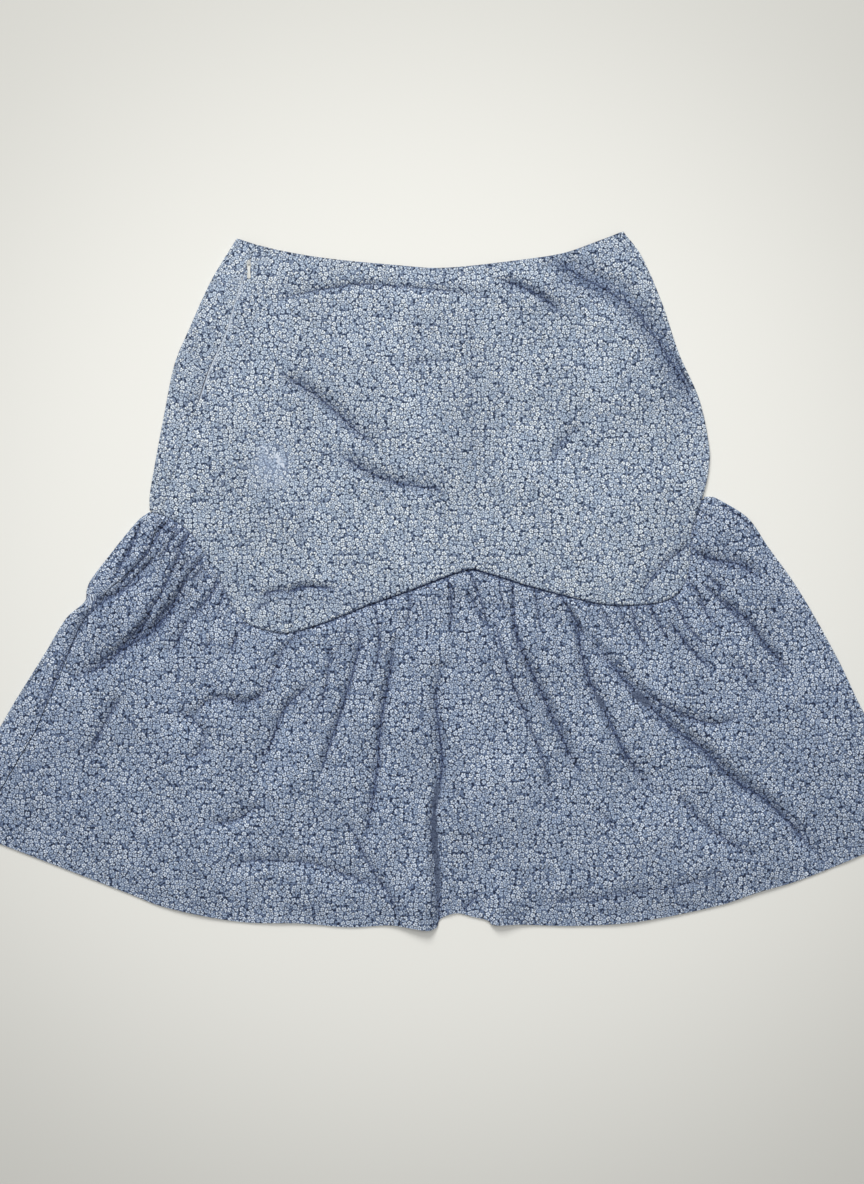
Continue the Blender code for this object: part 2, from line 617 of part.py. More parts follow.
def build_tape(tube, material):
    """Tape with the chain as a low ridge along its middle, under the two edges of the side seam."""
    downs = np.linspace(*ZIP_SHARES, TAPE_SECTIONS)
    line = Curve([tube.plan(tube.seam_share(down, 0), down) for down in downs])
    top = TAPE_Z + TAPE_THICK
    chain_top = top + CHAIN_HEIGHT
    profile = [(-TAPE_WIDTH / 2, TAPE_Z), (TAPE_WIDTH / 2, TAPE_Z), (TAPE_WIDTH / 2, top),
               (CHAIN_WIDTH / 2, top), (CHAIN_WIDTH / 2, chain_top), (-CHAIN_WIDTH / 2, chain_top),
               (-CHAIN_WIDTH / 2, top), (-TAPE_WIDTH / 2, top)]
    shape = bmesh.new()
    loops = []
    for share in np.linspace(0, 1, TAPE_SECTIONS):
        middle = line.at(share)
        beside = line.right_of(share)
        loops.append([shape.verts.new((*((middle + beside * offset) * MM), z * MM)) for offset, z in profile])
    for upper, lower in zip(loops[:-1], loops[1:]):
        for i in range(len(profile)):
            j = (i + 1) % len(profile)
            shape.faces.new((upper[i], upper[j], lower[j], lower[i]))
    shape.faces.new(loops[0])
    shape.faces.new(reversed(loops[-1]))
    bmesh.ops.recalc_face_normals(shape, faces=shape.faces)
    mesh = bpy.data.meshes.new("zip_tape")
    shape.to_mesh(mesh)
    shape.free()
    finish("zip_tape", mesh, material)


def block(name, low, high, material=None):
    """A box between two corners; without a material it is a cutter or a part to add."""
    shape = bmesh.new()
    bmesh.ops.create_cube(shape, size=1.0)
    for vertex in shape.verts:
        for axis in range(3):
            vertex.co[axis] = (low[axis] if vertex.co[axis] < 0 else high[axis]) * MM
    mesh = bpy.data.meshes.new(name)
    shape.to_mesh(mesh)
    shape.free()
    if material:
        return finish(name, mesh, material)
    guide = bpy.data.objects.new(name, mesh)
    bpy.context.scene.collection.objects.link(guide)
    guide.hide_render = True
    guide.display_type = "WIRE"
    return guide


def combine(piece, operation, other):
    step = piece.modifiers.new(other.name, "BOOLEAN")
    step.operation = operation
    step.object = other


def build_slider(place, material):
    """Slider: its body under the cloth, a neck up through the seam, and the arch that holds the pull."""
    x, y = place
    middle = y + SLIDER_SHIFT
    base_z = TAPE_Z + TAPE_THICK + CHAIN_HEIGHT + SLIDER_CLEAR
    width, length, thick = SLIDER_BASE
    slider = block("zip_slider", (x - width / 2, middle - length / 2, base_z),
                   (x + width / 2, middle + length / 2, base_z + thick), material)
    foot_z = FRONT_Z + ZIP_RISE + WALL / 2 + SEAM_GAP
    neck_width, neck_length = SLIDER_NECK
    neck = block("slider_neck", (x - neck_width / 2, middle - neck_length / 2, base_z + thick / 2),
                 (x + neck_width / 2, middle + neck_length / 2, foot_z + CROWN_FOOT / 2))
    combine(slider, "UNION", neck)
    rear = y + CROWN_REACH[1]
    front = y + CROWN_REACH[0]
    top = foot_z + CROWN_FOOT + CROWN_WINDOW + CROWN_BAR
    crown = block("slider_crown", (x - CROWN_WIDTH / 2, front, foot_z), (x + CROWN_WIDTH / 2, rear, top))
    combine(slider, "UNION", crown)
    window = block("slider_window", (x - CROWN_WIDTH, front + CROWN_LEG, foot_z + CROWN_FOOT),
                   (x + CROWN_WIDTH, rear - CROWN_LEG, top - CROWN_BAR))
    combine(slider, "DIFFERENCE", window)
    return foot_z + CROWN_FOOT + CROWN_WINDOW / 2


def build_pull(place, axis_z, material):
    """Drop-shaped pull tab; its ring's bar turns in the slider's arch, on the object's own origin."""
    half_bar = PULL_THICK / 2
    ring = PULL_RING / 2
    drop = PULL_DROP / 2
    drop_centre = PULL_LENGTH - half_bar - drop
    ring_end = -PULL_WINDOW[1] - PULL_RING_END
    neck_x = ring * PULL_NECK[0]
    neck_y = -drop_centre * PULL_NECK[1]
    outline = [(ring, half_bar), (ring, ring_end), (neck_x, neck_y)]
    for step in range(DROP_STEPS + 1):
        angle = math.radians(DROP_START - DROP_TURN * step / DROP_STEPS)
        outline.append((drop * math.cos(angle), -drop_centre + drop * math.sin(angle)))
    outline += [(-neck_x, neck_y), (-ring, ring_end), (-ring, half_bar)]
    shape = bmesh.new()
    face = shape.faces.new([shape.verts.new((px * MM, py * MM, -half_bar * MM)) for px, py in outline])
    grown = bmesh.ops.extrude_face_region(shape, geom=[face])
    for vertex in (part for part in grown["geom"] if isinstance(part, bmesh.types.BMVert)):
        vertex.co.z = half_bar * MM
    bmesh.ops.recalc_face_normals(shape, faces=shape.faces)
    mesh = bpy.data.meshes.new("zip_pull")
    shape.to_mesh(mesh)
    shape.free()
    pull = finish("zip_pull", mesh, material)
    window = block("pull_window", (-PULL_WINDOW[0] / 2, -half_bar - PULL_WINDOW[1], -PULL_THICK),
                   (PULL_WINDOW[0] / 2, -half_bar, PULL_THICK))
    combine(pull, "DIFFERENCE", window)
    window.parent = pull
    pull.location = (place[0] * MM, place[1] * MM, axis_z * MM)
    pull.rotation_euler = (math.radians(PULL_TILT), 0.0, 0.0)


def main():
    for piece in list(bpy.data.objects):
        bpy.data.objects.remove(piece, do_unlink=True)
    yoke_cloth = surface_material("printed cotton, yoke", (0.31, 0.35, 0.42), 0.85)
    flounce_cloth = surface_material("printed cotton, flounce", (0.25, 0.29, 0.37), 0.85)
    tape = surface_material("woven zip tape", (0.55, 0.50, 0.50), 0.8)
    metal = surface_material("lacquered zinc", (0.62, 0.58, 0.50), 0.4, 0.6)
    cream = surface_material("cream lacquer", (0.80, 0.76, 0.66), 0.45)
    yoke = build_yoke(yoke_cloth)
    build_flounce(flounce_cloth)
    build_tape(yoke, tape)
    place = yoke.plan(yoke.seam_share(SLIDER_SHARE, 0), SLIDER_SHARE)
    axis_z = build_slider(place, metal)
    build_pull(place, axis_z, cream)


main()
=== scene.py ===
# Midi skirt laid flat on a pale surface: cloth, print, zip, studio
import math
import bpy
import numpy as np
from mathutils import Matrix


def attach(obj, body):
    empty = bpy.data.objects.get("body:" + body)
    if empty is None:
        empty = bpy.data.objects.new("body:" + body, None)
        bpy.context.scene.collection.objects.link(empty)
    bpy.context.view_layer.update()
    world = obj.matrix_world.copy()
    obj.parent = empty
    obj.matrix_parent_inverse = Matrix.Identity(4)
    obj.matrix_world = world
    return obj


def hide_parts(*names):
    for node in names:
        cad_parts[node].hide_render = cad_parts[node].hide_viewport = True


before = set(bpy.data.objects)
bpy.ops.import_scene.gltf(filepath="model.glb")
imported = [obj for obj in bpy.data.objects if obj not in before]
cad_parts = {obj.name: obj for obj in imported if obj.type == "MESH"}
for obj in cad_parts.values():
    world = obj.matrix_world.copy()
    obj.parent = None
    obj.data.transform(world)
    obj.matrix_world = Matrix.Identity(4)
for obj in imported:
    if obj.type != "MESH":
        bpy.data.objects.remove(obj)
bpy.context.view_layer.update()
scene = bpy.context.scene
print("frame loaded:", ", ".join(sorted(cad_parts)))

mm = 0.001


def linearColour(hexColour):
    channels = [int(hexColour[i:i + 2], 16) / 255 for i in (1, 3, 5)]
    return tuple(c / 12.92 if c <= 0.04045 else ((c + 0.055) / 1.055)**2.4 for c in channels) + (1.0,)


class Finish:
    # a material being made: each call adds a node and gives back its result
    def __init__(self, name, roughness):
        self.material = bpy.data.materials.new(name)
        self.material.use_nodes = True
        self.tree = self.material.node_tree
        self.shader = self.tree.nodes["Principled BSDF"]
        self.give("Roughness", roughness)

    def plug(self, socket, value):
        if isinstance(value, bpy.types.NodeSocket):
            self.tree.links.new(value, socket)
        else:
            socket.default_value = linearColour(value) if isinstance(value, str) else value

    def give(self, name, value):
        self.plug(self.shader.inputs[name], value)

    def add(self, kind, values=None, **settings):
        node = self.tree.nodes.new("ShaderNode" + kind)
        for name, value in settings.items():
            setattr(node, name, value)
        for socket, value in (values or {}).items():
            self.plug(node.inputs[socket], value)
        return node.outputs

    def sums(self, operation, *values):
        return self.add("Math", dict(enumerate(values)), operation=operation)[0]

    def vectors(self, operation, *values):
        found = self.add("VectorMath", dict(enumerate(values)), operation=operation)
        return found["Value"] if operation in ("LENGTH", "DISTANCE", "DOT_PRODUCT") else found[0]

    def blend(self, share, first, second):
        return self.add("Mix", {0: share, 6: first, 7: second}, data_type="RGBA")[2]

    def ramp(self, value, low, high, first=0.0, last=1.0, kind="SMOOTHSTEP"):
        return self.add("MapRange", {"Value": value, "From Min": low, "From Max": high, "To Min": first,
                        "To Max": last}, interpolation_type=kind)[0]

    def clouds(self, place, cellMm, detail, output=0, dimensions="2D"):
        return self.add("TexNoise", {"Vector": place, "Scale": 1000 / cellMm, "Detail": detail},
                        noise_dimensions=dimensions)[output]

    def cells(self, place, cellMm, **settings):
        return self.add("TexVoronoi", {"Vector": place, "Scale": 1000 / cellMm, "Randomness": 1.0},
                        voronoi_dimensions="2D", **settings)

    def bump(self, height, strength, distanceMm):
        self.give("Normal", self.add("Bump", {"Height": height, "Strength": strength,
                                              "Distance": distanceMm * mm})[0])


def smoothStep(u):
    u = np.clip(u, 0.0, 1.0)
    return u * u * (3 - 2 * u)


def softNoise(x, y, cell, seed):
    # smooth bumps about one cell wide, from -1 to 1, the same every run
    table = np.random.RandomState(seed).rand(128, 128) * 2 - 1
    total = 0
    for turn, share in ((0.3, 0.6), (1.2, 0.4)):
        gx = (x * math.cos(turn) - y * math.sin(turn)) / cell + 1000.3
        gy = (x * math.sin(turn) + y * math.cos(turn)) / cell + 1000.7
        i = np.floor(gx).astype(int)
        j = np.floor(gy).astype(int)
        u = smoothStep(gx - i)
        v = smoothStep(gy - j)
        low = table[i % 128, j % 128] * (1 - u) + table[(i + 1) % 128, j % 128] * u
        high = table[i % 128, (j + 1) % 128] * (1 - u) + table[(i + 1) % 128, (j + 1) % 128] * u
        total = total + share * (low * (1 - v) + high * v)
    return total


def unevenness(x, y, bumps):
    return sum(height * softNoise(x, y, cell, seed) for height, cell, seed in bumps)


def tableAt(rows, share, column=1):
    # a column of a table, read between its rows
    table = np.array(rows, dtype=float)
    return np.interp(share, table[:, 0], table[:, column])


# studio: camera straight above, pale floor painted darker outwards as painted light falloff, soft light from the top
# of the picture
studio = {
    "cameraPlace": (0.0005, -0.011, 1.6444),
    "lens": 50.0,
    "lookAt": (0.0, -0.05, 0.0),
    "floorSize": 8.0,
    # the floor is painted darker away from its middle, as painted light falloff
    "floorMiddle": (0.0, -0.03, 0.0),
    "floorReach": (0.3, 0.8),
    "floorColours": ("#eeede6", "#cfcec7"),
    "lamps": [("keyLight", (-1.3, 4.6, 3.3), 2.4, 275.0), ("topLight", (0.05, 0.2, 1.75), 1.2, 11.0)],
    "skyColour": "#f4f5f8",
    "skyStrength": 0.27,
}


def buildStudio():
    camera = bpy.data.cameras.new("camera")
    camera.lens = studio["lens"]
    camera.clip_start = 0.01
    cameraObject = bpy.data.objects.new("camera", camera)
    cameraObject.location = studio["cameraPlace"]
    scene.collection.objects.link(cameraObject)
    scene.camera = cameraObject
    for name, place, size, watts in studio["lamps"]:
        bpy.ops.object.light_add(type="AREA", location=place)
        lamp = bpy.context.object
        lamp.name = name
        lamp.data.size = size
        lamp.data.energy = watts
        away = [lamp.location[i] - studio["lookAt"][i] for i in range(3)]
        lamp.rotation_euler = (math.atan2(math.hypot(away[0], away[1]), away[2]), 0.0,
                               math.atan2(away[0], -away[1]))
    world = bpy.data.worlds.new("studio")
    world.use_nodes = True
    sky = world.node_tree.nodes["Background"]
    sky.inputs["Color"].default_value = linearColour(studio["skyColour"])
    sky.inputs["Strength"].default_value = studio["skyStrength"]
    scene.world = world
    scene.view_settings.view_transform = "Standard"
    bpy.ops.object.select_all(action="DESELECT")
    bpy.ops.mesh.primitive_plane_add(size=studio["floorSize"], location=(0, 0, 0))
    floor = bpy.context.object
    floor.name = "floor"
    card = Finish("matte white card", 0.9)
    # painted light falloff: the card is drawn darker away from its middle
    away = card.vectors("DISTANCE", card.add("TexCoord")["Object"], studio["floorMiddle"])
    card.give("Base Color", card.blend(card.ramp(away, *studio["floorReach"]), *studio["floorColours"]))
    floor.data.materials.append(card.material)
    print("studio ready")


buildStudio()


# printed cotton: a close ditsy of five-petalled flowers, pale blue on slate, plain weave with a dry hand
yokePrint = {
    "petals": ("#f6fdff", "#bfd0e2"),
    "buds": "#7f8ea6",
    "ground": ("#0f1c32", "#2b3d59"),
    # colour of the painted highlight on the folded edge by the zip
    "edge": "#c3cdda",
    "wanderMm": 1.2,  # how far the drawn shapes stray, over cells of wanderCellMm
    "wanderCellMm": 2.6,
    "flowerMm": 4.5,
    "petalPlaceMm": 1.35,
    "petalReachMm": 1.02,
    "petalSoftMm": 0.15,
    # where each of these starts and is complete
    "slitMm": (0.12, 0.34),
    "gapMm": (0.15, 0.85),
    "heartMm": (0.35, 0.75),
    "budMm": 2.1,
    "budEdge": (0.54, 0.36),
    "groundCellMm": 4.0,
    "washCellMm": 70.0,
    "fade": 0.10,
    # tints of the painted shade in folds and along crease lines
    "foldShadeTint": (-0.24, -0.22, -0.175),
    "lineShadeTint": (-0.62, -0.58, -0.46),
    "lineMm": (0.2, 1.7),
    "lineCut": -2.2,
    "threadWave": 6283.0,  # plain weave, threads really 0.35 mm apart, drawn 1 mm apart to show
    "threadRise": 0.12,
    "crinkleMm": 6.0,
    "reliefMm": 0.5,
}
# the flounce is the same cloth as the yoke, drawn darker as painted shade
flounceShadedPrint = dict(yokePrint, petals=("#e8f2fd", "#abbcd3"), buds="#6b7c99", ground=("#0a152c", "#20304c"))
insidePrint = dict(yokePrint, petals=("#6f7b90", "#5f6b81"), buds="#56627a", ground=("#2c374c", "#36425a"))
# a rubbed place on the yoke, with short scuffed strokes: x, y, length in metres, slope
yokeSmudge = {
    "centre": (-0.149, 0.126, 0.004),
    "reach": 0.036,
    "strength": 0.34,
    "colour": "#a9b9d4",
    "raggedMm": 14.0,
    "stray": 0.024,
    "strokes": [(-0.1665, 0.1305, 0.006, 0.5), (-0.1535, 0.1205, 0.011, 1.1)],
    "strokeColour": "#dbe3ef",
    "strokeWidth": 1.6 * mm,
    "strokeStrength": 0.75,
}


def flowerPrint(cotton, place, look):
    sums, vectors, ramp, blend = cotton.sums, cotton.vectors, cotton.ramp, cotton.blend
    flowers = cotton.cells(place, look["flowerMm"])
    borders = cotton.cells(place, look["flowerMm"], feature="DISTANCE_TO_EDGE")["Distance"]
    away = vectors("SUBTRACT", place, flowers["Position"])
    reach = vectors("LENGTH", away)
    axes = cotton.add("SeparateXYZ", {0: away})
    chance = cotton.add("SeparateColor", {0: flowers["Color"]})
    turned = sums("MULTIPLY_ADD", chance[0], 6.283, sums("ARCTAN2", axes[1], axes[0]))
    # the five petals are one round petal turned into five sectors
    sector = sums("FRACT", sums("MULTIPLY", turned, 5 / (2 * math.pi)))
    bearing = sums("MULTIPLY_ADD", sector, 2 * math.pi / 5, -math.pi / 5)
    spot = cotton.add("CombineXYZ", {i: sums("MULTIPLY", sums(operation, bearing), reach)
                      for i, operation in enumerate(("COSINE", "SINE"))})[0]
    toPetal = vectors("DISTANCE", spot, (look["petalPlaceMm"] * mm, 0.0, 0.0))
    flower = ramp(toPetal, (look["petalReachMm"] - look["petalSoftMm"]) * mm,
                  (look["petalReachMm"] + look["petalSoftMm"]) * mm, 1.0, 0.0)
    toSlit = sums("MULTIPLY", sums("SUBTRACT", math.pi / 5, sums("ABSOLUTE", bearing)), reach)
    slits = ramp(toSlit, *[edge * mm for edge in look["slitMm"]])
    gaps = ramp(borders, *[edge / look["flowerMm"] for edge in look["gapMm"]])
    heart = ramp(reach, *[edge * mm for edge in look["heartMm"]])
    for part in (slits, gaps, heart):
        flower = sums("MULTIPLY", flower, part)
    bud = ramp(cotton.cells(place, look["budMm"])["Distance"], *look["budEdge"])
    ground = blend(cotton.clouds(place, look["groundCellMm"], 2.0), *look["ground"])
    return blend(flower, blend(bud, ground, look["buds"]), blend(chance[1], *look["petals"]))


def rubbedOn(cotton, colour, smudge):
    sums, vectors, ramp = cotton.sums, cotton.vectors, cotton.ramp
    spot = cotton.add("TexCoord")["Object"]
    ragged = cotton.clouds(spot, smudge["raggedMm"], 2.0, "Color", "3D")
    shaken = vectors("MULTIPLY_ADD", ragged, (smudge["stray"], smudge["stray"], 0.0), spot)
    away = vectors("DISTANCE", shaken, smudge["centre"])
    colour = cotton.blend(ramp(away, smudge["reach"], 0.0, 0.0, smudge["strength"]), colour, smudge["colour"])
    for x, y, length, slope in smudge["strokes"]:
        middle = smudge["stray"] / 2
        turned = cotton.add("Mapping", {"Vector": shaken, "Location": (-x - middle, -y - middle, 0.0)},
                            vector_type="POINT")[0]
        near = []
        for direction, reach in (((math.cos(slope), -math.sin(slope), 0.0), length),
                                 ((math.sin(slope), math.cos(slope), 0.0), smudge["strokeWidth"])):
            distance = sums("ABSOLUTE", vectors("DOT_PRODUCT", turned, direction))
            near.append(ramp(distance, reach, reach * 0.4))
        lifted = sums("MULTIPLY", sums("MULTIPLY", *near), smudge["strokeStrength"])
        colour = cotton.blend(lifted, colour, smudge["strokeColour"])
    return colour


def printedCotton(name, look, smudge=None):
    cotton = Finish(name, 0.86)
    sums, vectors, ramp = cotton.sums, cotton.vectors, cotton.ramp
    flatCloth = cotton.add("UVMap", uv_map="cloth")["UV"]
    # the flowers are drawn freely, so each is pulled a little out of round
    drift = cotton.clouds(flatCloth, look["wanderCellMm"], 1.0, "Color")
    place = vectors("MULTIPLY_ADD", drift, (look["wanderMm"] * mm, look["wanderMm"] * mm, 0.0), flatCloth)
    printed = flowerPrint(cotton, place, look)
    # washed cotton changes tone slowly
    tone = ramp(cotton.clouds(place, look["washCellMm"], 3.0), 0.25, 0.75, 1 - look["fade"],
                1 + look["fade"] * 0.5, "LINEAR")
    # painted shade: the cloth is drawn darker in its folds, and darkest along a crease's own line
    shadeInFolds, side, sharp, edge = [cotton.add("Attribute", attribute_name=attribute)["Fac"]
                                 for attribute in ("fold", "creaseSide", "creaseDepth", "paleEdge")]
    # each crease line is cut into the bump and also drawn darker as painted shade
    grooveAndShade = sums("MULTIPLY", ramp(sums("ABSOLUTE", side), *look["lineMm"], 1.0, 0.0), sharp)
    foldShaded = vectors("MULTIPLY_ADD", shadeInFolds, look["foldShadeTint"], (1.0, 1.0, 1.0))
    lineShaded = vectors("MULTIPLY_ADD", grooveAndShade, look["lineShadeTint"], (1.0, 1.0, 1.0))
    toned = cotton.add("VectorMath", {0: printed, "Scale": tone}, operation="SCALE")[0]
    colour = vectors("MULTIPLY", vectors("MULTIPLY", toned, foldShaded), lineShaded)
    # painted highlight along the folded edge by the zip
    colour = cotton.blend(edge, colour, look["edge"])
    if smudge:
        colour = rubbedOn(cotton, colour, smudge)
    cotton.give("Base Color", colour)
    axes = cotton.add("SeparateXYZ", {0: place})
    threads = [sums("SINE", sums("MULTIPLY", axes[axis], look["threadWave"])) for axis in (0, 1)]
    relief = sums("MULTIPLY_ADD", sums("MULTIPLY", *threads), look["threadRise"],
                  cotton.clouds(place, look["crinkleMm"], 3.0))
    cotton.bump(sums("MULTIPLY_ADD", grooveAndShade, look["lineCut"], relief), 0.35, look["reliefMm"])
    cotton.give("Sheen Weight", 0.12)
    cotton.give("Sheen Roughness", 0.6)
    cotton.give("Specular IOR Level", 0.25)
    return cotton.material


yokeCotton = printedCotton("printed cotton poplin, yoke", yokePrint, yokeSmudge)
yokeBackCotton = printedCotton("printed cotton poplin, yoke back", yokePrint)
flounceCotton = printedCotton("printed cotton poplin, flounce", flounceShadedPrint)
insideCotton = printedCotton("printed cotton poplin, wrong side", insidePrint)
print("print materials ready")


# plan of the laid skirt, in millimetres
skirt = {
    "waist": [(-194.5, 342), (-169.5, 334), (-111.5, 323), (-31.5, 315), (8.5, 312.5), (68.5, 318),
        (133.5, 328), (173.5, 342), (191.5, 349)],
    "yokeLeft": [(-194.5, 342), (-219.5, 301), (-241.5, 253), (-256.5, 217), (-266.5, 169), (-275.5, 121),
        (-281.5, 85), (-281.5, 70.5)],
    "yokeRight": [(191.5, 349), (209.5, 325), (230.5, 277), (246.5, 229), (267.5, 181), (277.5, 133),
        (277, 112), (272.5, 90), (264.5, 66), (259, 48), (258, 21), (254.5, 3), (246.5, -12)],
    "scallops": [(-281.5, 70), (-261.5, 63), (-241.5, 49), (-227.5, 29), (-215.5, 9), (-195.5, -31),
        (-181.5, -43), (-163.5, -49), (-145.5, -52), (-111.5, -43), (-66.5, -25), (-21.5, -9),
        (23.5, 8), (38.5, 12), (53.5, 9), (98.5, -5), (148.5, -18), (173.5, -23), (198.5, -24),
        (231.5, -20), (246.5, -12)],
    "seamRightEnd": (272.5, 84),
    "flounceLeft": [(-281.5, 69), (-294.5, 61), (-305.5, 49), (-324.5, 25), (-342.5, 1), (-346.5, -10),
        (-347.5, -19), (-365.5, -35), (-387.5, -71), (-417.5, -119), (-431.5, -143), (-470, -206),
        (-487, -236), (-480, -248)],
    "flounceRight": [(272.5, 84), (283.5, 84), (305.5, 73), (320.5, 61), (336.5, 37), (362.5, 1), (384.5, -35),
        (410.5, -83), (427.5, -119), (470, -200), (487, -236), (480, -251)],
    "hem": [(-480, -248), (-461.5, -253), (-431.5, -264), (-371.5, -287), (-306.5, -312),
        (-266.5, -327), (-191.5, -341.5), (-131.5, -343), (-81.5, -347), (-41.5, -345),
        (-16.5, -348), (-1.5, -349.5), (5.5, -346.5), (8.5, -339), (24.5, -333), (41.5, -336.5),
        (56.5, -340), (61.5, -344), (85.5, -344), (148.5, -345.5), (208.5, -341), (288.5, -325),
        (328.5, -311.5), (368.5, -300), (432.5, -274), (480, -251)],
    # side seam: share down, distance in from the left fold, opening
    "yokeSideSeam": [(0, 21, -0.2), (0.045, 23, -0.2), (0.058, 23.6, 1.6), (0.08, 24.5, 1.6), (0.095, 25.3, -0.1),
                     (0.14, 28, -0.2), (0.31, 35, -0.2), (0.42, 35, -0.2), (0.47, 34.4, 0.2), (0.5, 34, 0.5),
                     (0.545, 33, 0.5), (0.575, 32, 0.0), (0.78, 22, 0.0), (1, 15, 0.1)],
    "flounceSideSeam": [(0, 15, 0.3), (0.06, 24, 0.3), (0.12, 33, 0.3), (0.22, 26, 0.3), (0.29, 15, 0.3),
                        (0.44, 20, 0.3), (0.53, 27, 0.3), (0.67, 34, 0.3), (1, 36, 0.3)],
    "seamGap": 0.3,
    "flounceDepth": 362.0,
}

# heights of the cloth's middle above the surface, and how it turns at the side folds
lay = {
    "thick": 0.5,
    "wrapColumns": 20,
    "backZ": 0.25,
    "frontZ": 2.55,
    "foldAxisZ": 2.0,
    "foldRadius": 1.75,
    "foldInset": 2.0,
    "foldBlend": 9.0,
    "lowestFront": 1.15,
    "seamTopZ": 2.65,
    "seamUnderZ": 1.95,
    "seamBackZ": 0.85,
    # degrees round a side fold, 0 on top, 90 outermost
    "overTurn": (0, 22, 45, 67, 90),
    "underTurn": (90, 112, 135, 157, 180),
    "wholeTurn": (180, 157, 135, 112, 90, 67, 45, 22, 0),
    "parted": 0.08,  # the two rims that meet at 90 degrees
    "frontFromFold": 1.5,
    "wrapFromFold": 1.0,
    "wrapClose": (0, 0.02, 0.05, 0.09),
    "betweenLayers": 0.15,
    "deepestDip": 1.2,
    # share of the front creases' width and depth that the unseen back has
    "hiddenCrease": (1.4, 0.6),
}


class Line:
    # a plan line, read by its share of length
    def __init__(self, points, smooth=True):
        knots = np.array(points, dtype=float)
        self.points = self.rounded(knots) if smooth else knots
        steps = np.linalg.norm(np.diff(self.points, axis=0), axis=1)
        self.lengths = np.concatenate([[0.0], np.cumsum(steps)])
        self.length = self.lengths[-1]

    @staticmethod
    def rounded(knots, steps=12):
        before = np.vstack([knots[:1], knots[:-1]])
        after = np.vstack([knots[1:], knots[-1:]])
        tangents = (after - before) / np.linalg.norm(after - before, axis=1, keepdims=True)
        u = np.linspace(0, 1, steps + 1)[1:, None]
        dense = [knots[:1]]
        for i in range(len(knots) - 1):
            span = np.linalg.norm(knots[i + 1] - knots[i])
            dense.append((2 * u**3 - 3 * u**2 + 1) * knots[i] + (u**3 - 2 * u**2 + u) * tangents[i] * span
                         + (3 * u**2 - 2 * u**3) * knots[i + 1] + (u**3 - u**2) * tangents[i + 1] * span)
        return np.vstack(dense)

    def at(self, share):
        travelled = np.asarray(share, dtype=float) * self.length
        x = np.interp(travelled, self.lengths, self.points[:, 0])
        y = np.interp(travelled, self.lengths, self.points[:, 1])
        return np.stack([x, y], axis=-1)

    def rightOf(self, share):
        step = 4.0 / self.length
        run = self.at(np.minimum(share + step, 1.0)) - self.at(np.maximum(share - step, 0.0))
        run = run / np.linalg.norm(run, axis=-1, keepdims=True)
        return np.stack([run[..., 1], -run[..., 0]], axis=-1)

    def beside(self, x, y, near):
        # signed distance to its right where near is true, far elsewhere
        distance = np.full(x.shape, 99.0)
        px, py = x[near], y[near]
        gap = np.hypot(px[:, None] - self.points[None, :, 0], py[:, None] - self.points[None, :, 1])
        nearest = gap.argmin(axis=1)
        away = np.column_stack([px, py]) - self.points[nearest]
        distance[near] = (away * self.rightOf(self.lengths[nearest] / self.length)).sum(axis=1)
        return distance

    def moved(self, distance):
        shares = self.lengths / self.length
        return Line(self.points + self.rightOf(shares) * distance, smooth=False)


class Tube:
    # plan of the yoke or the flounce, by share across and share down
    def __init__(self, top, bottom, left, right, sideSeam):
        self.top = top
        self.bottom = bottom
        self.left = left
        self.right = right
        self.sideSeam = np.array(sideSeam)

    def plan(self, across, down):
        across, down = np.broadcast_arrays(np.asarray(across, dtype=float), np.asarray(down, dtype=float))
        s = across[..., None]
        t = down[..., None]
        ruled = ((1 - t) * self.top.at(across) + t * self.bottom.at(across)
                 + (1 - s) * self.left.at(down) + s * self.right.at(down))
        corners = ((1 - s) * (1 - t) * self.top.at(0.0) + s * (1 - t) * self.top.at(1.0)
                   + (1 - s) * t * self.bottom.at(0.0) + s * t * self.bottom.at(1.0))
        return ruled - corners

    def width(self, down):
        row = self.plan(np.linspace(0, 1, 41)[None, :], np.atleast_1d(down)[:, None])
        return np.linalg.norm(np.diff(row, axis=1), axis=2).sum(axis=1)

    def seamShare(self, down, side):
        distance = np.interp(down, self.sideSeam[:, 0], self.sideSeam[:, 1])
        opening = np.interp(down, self.sideSeam[:, 0], self.sideSeam[:, 2])
        return (distance + side * opening / 2) / self.width(down)

    def atFolds(self, across, down, height):
        inside = np.minimum(across, 1 - across) * self.width(down[:, 0])[:, None] - lay["foldInset"]
        near = np.exp(-(np.maximum(inside, 0.0) / lay["foldBlend"])**2)
        return height * (1 - near) + (lay["foldAxisZ"] + lay["foldRadius"]) * near

    def turn(self, side, down, angles, shift=0.0):
        # points round a side fold and where they lie on the flat cloth
        edge = self.left if side < 0 else self.right
        outwards = -side * edge.rightOf(down)
        middle = edge.at(down) - outwards * lay["foldInset"]
        points = []
        flat = []
        for angle in angles:
            out = lay["foldRadius"] * math.sin(math.radians(angle))
            up = lay["foldRadius"] * math.cos(math.radians(angle))
            plan = middle + outwards * out
            z = np.full(len(down), lay["foldAxisZ"] + up + (shift if angle == 90 else 0.0))
            points.append(np.column_stack([plan, z]))
            flat.append(middle + outwards * lay["foldRadius"] * math.radians(angle))
        return np.stack(points, axis=1), np.stack(flat, axis=1)
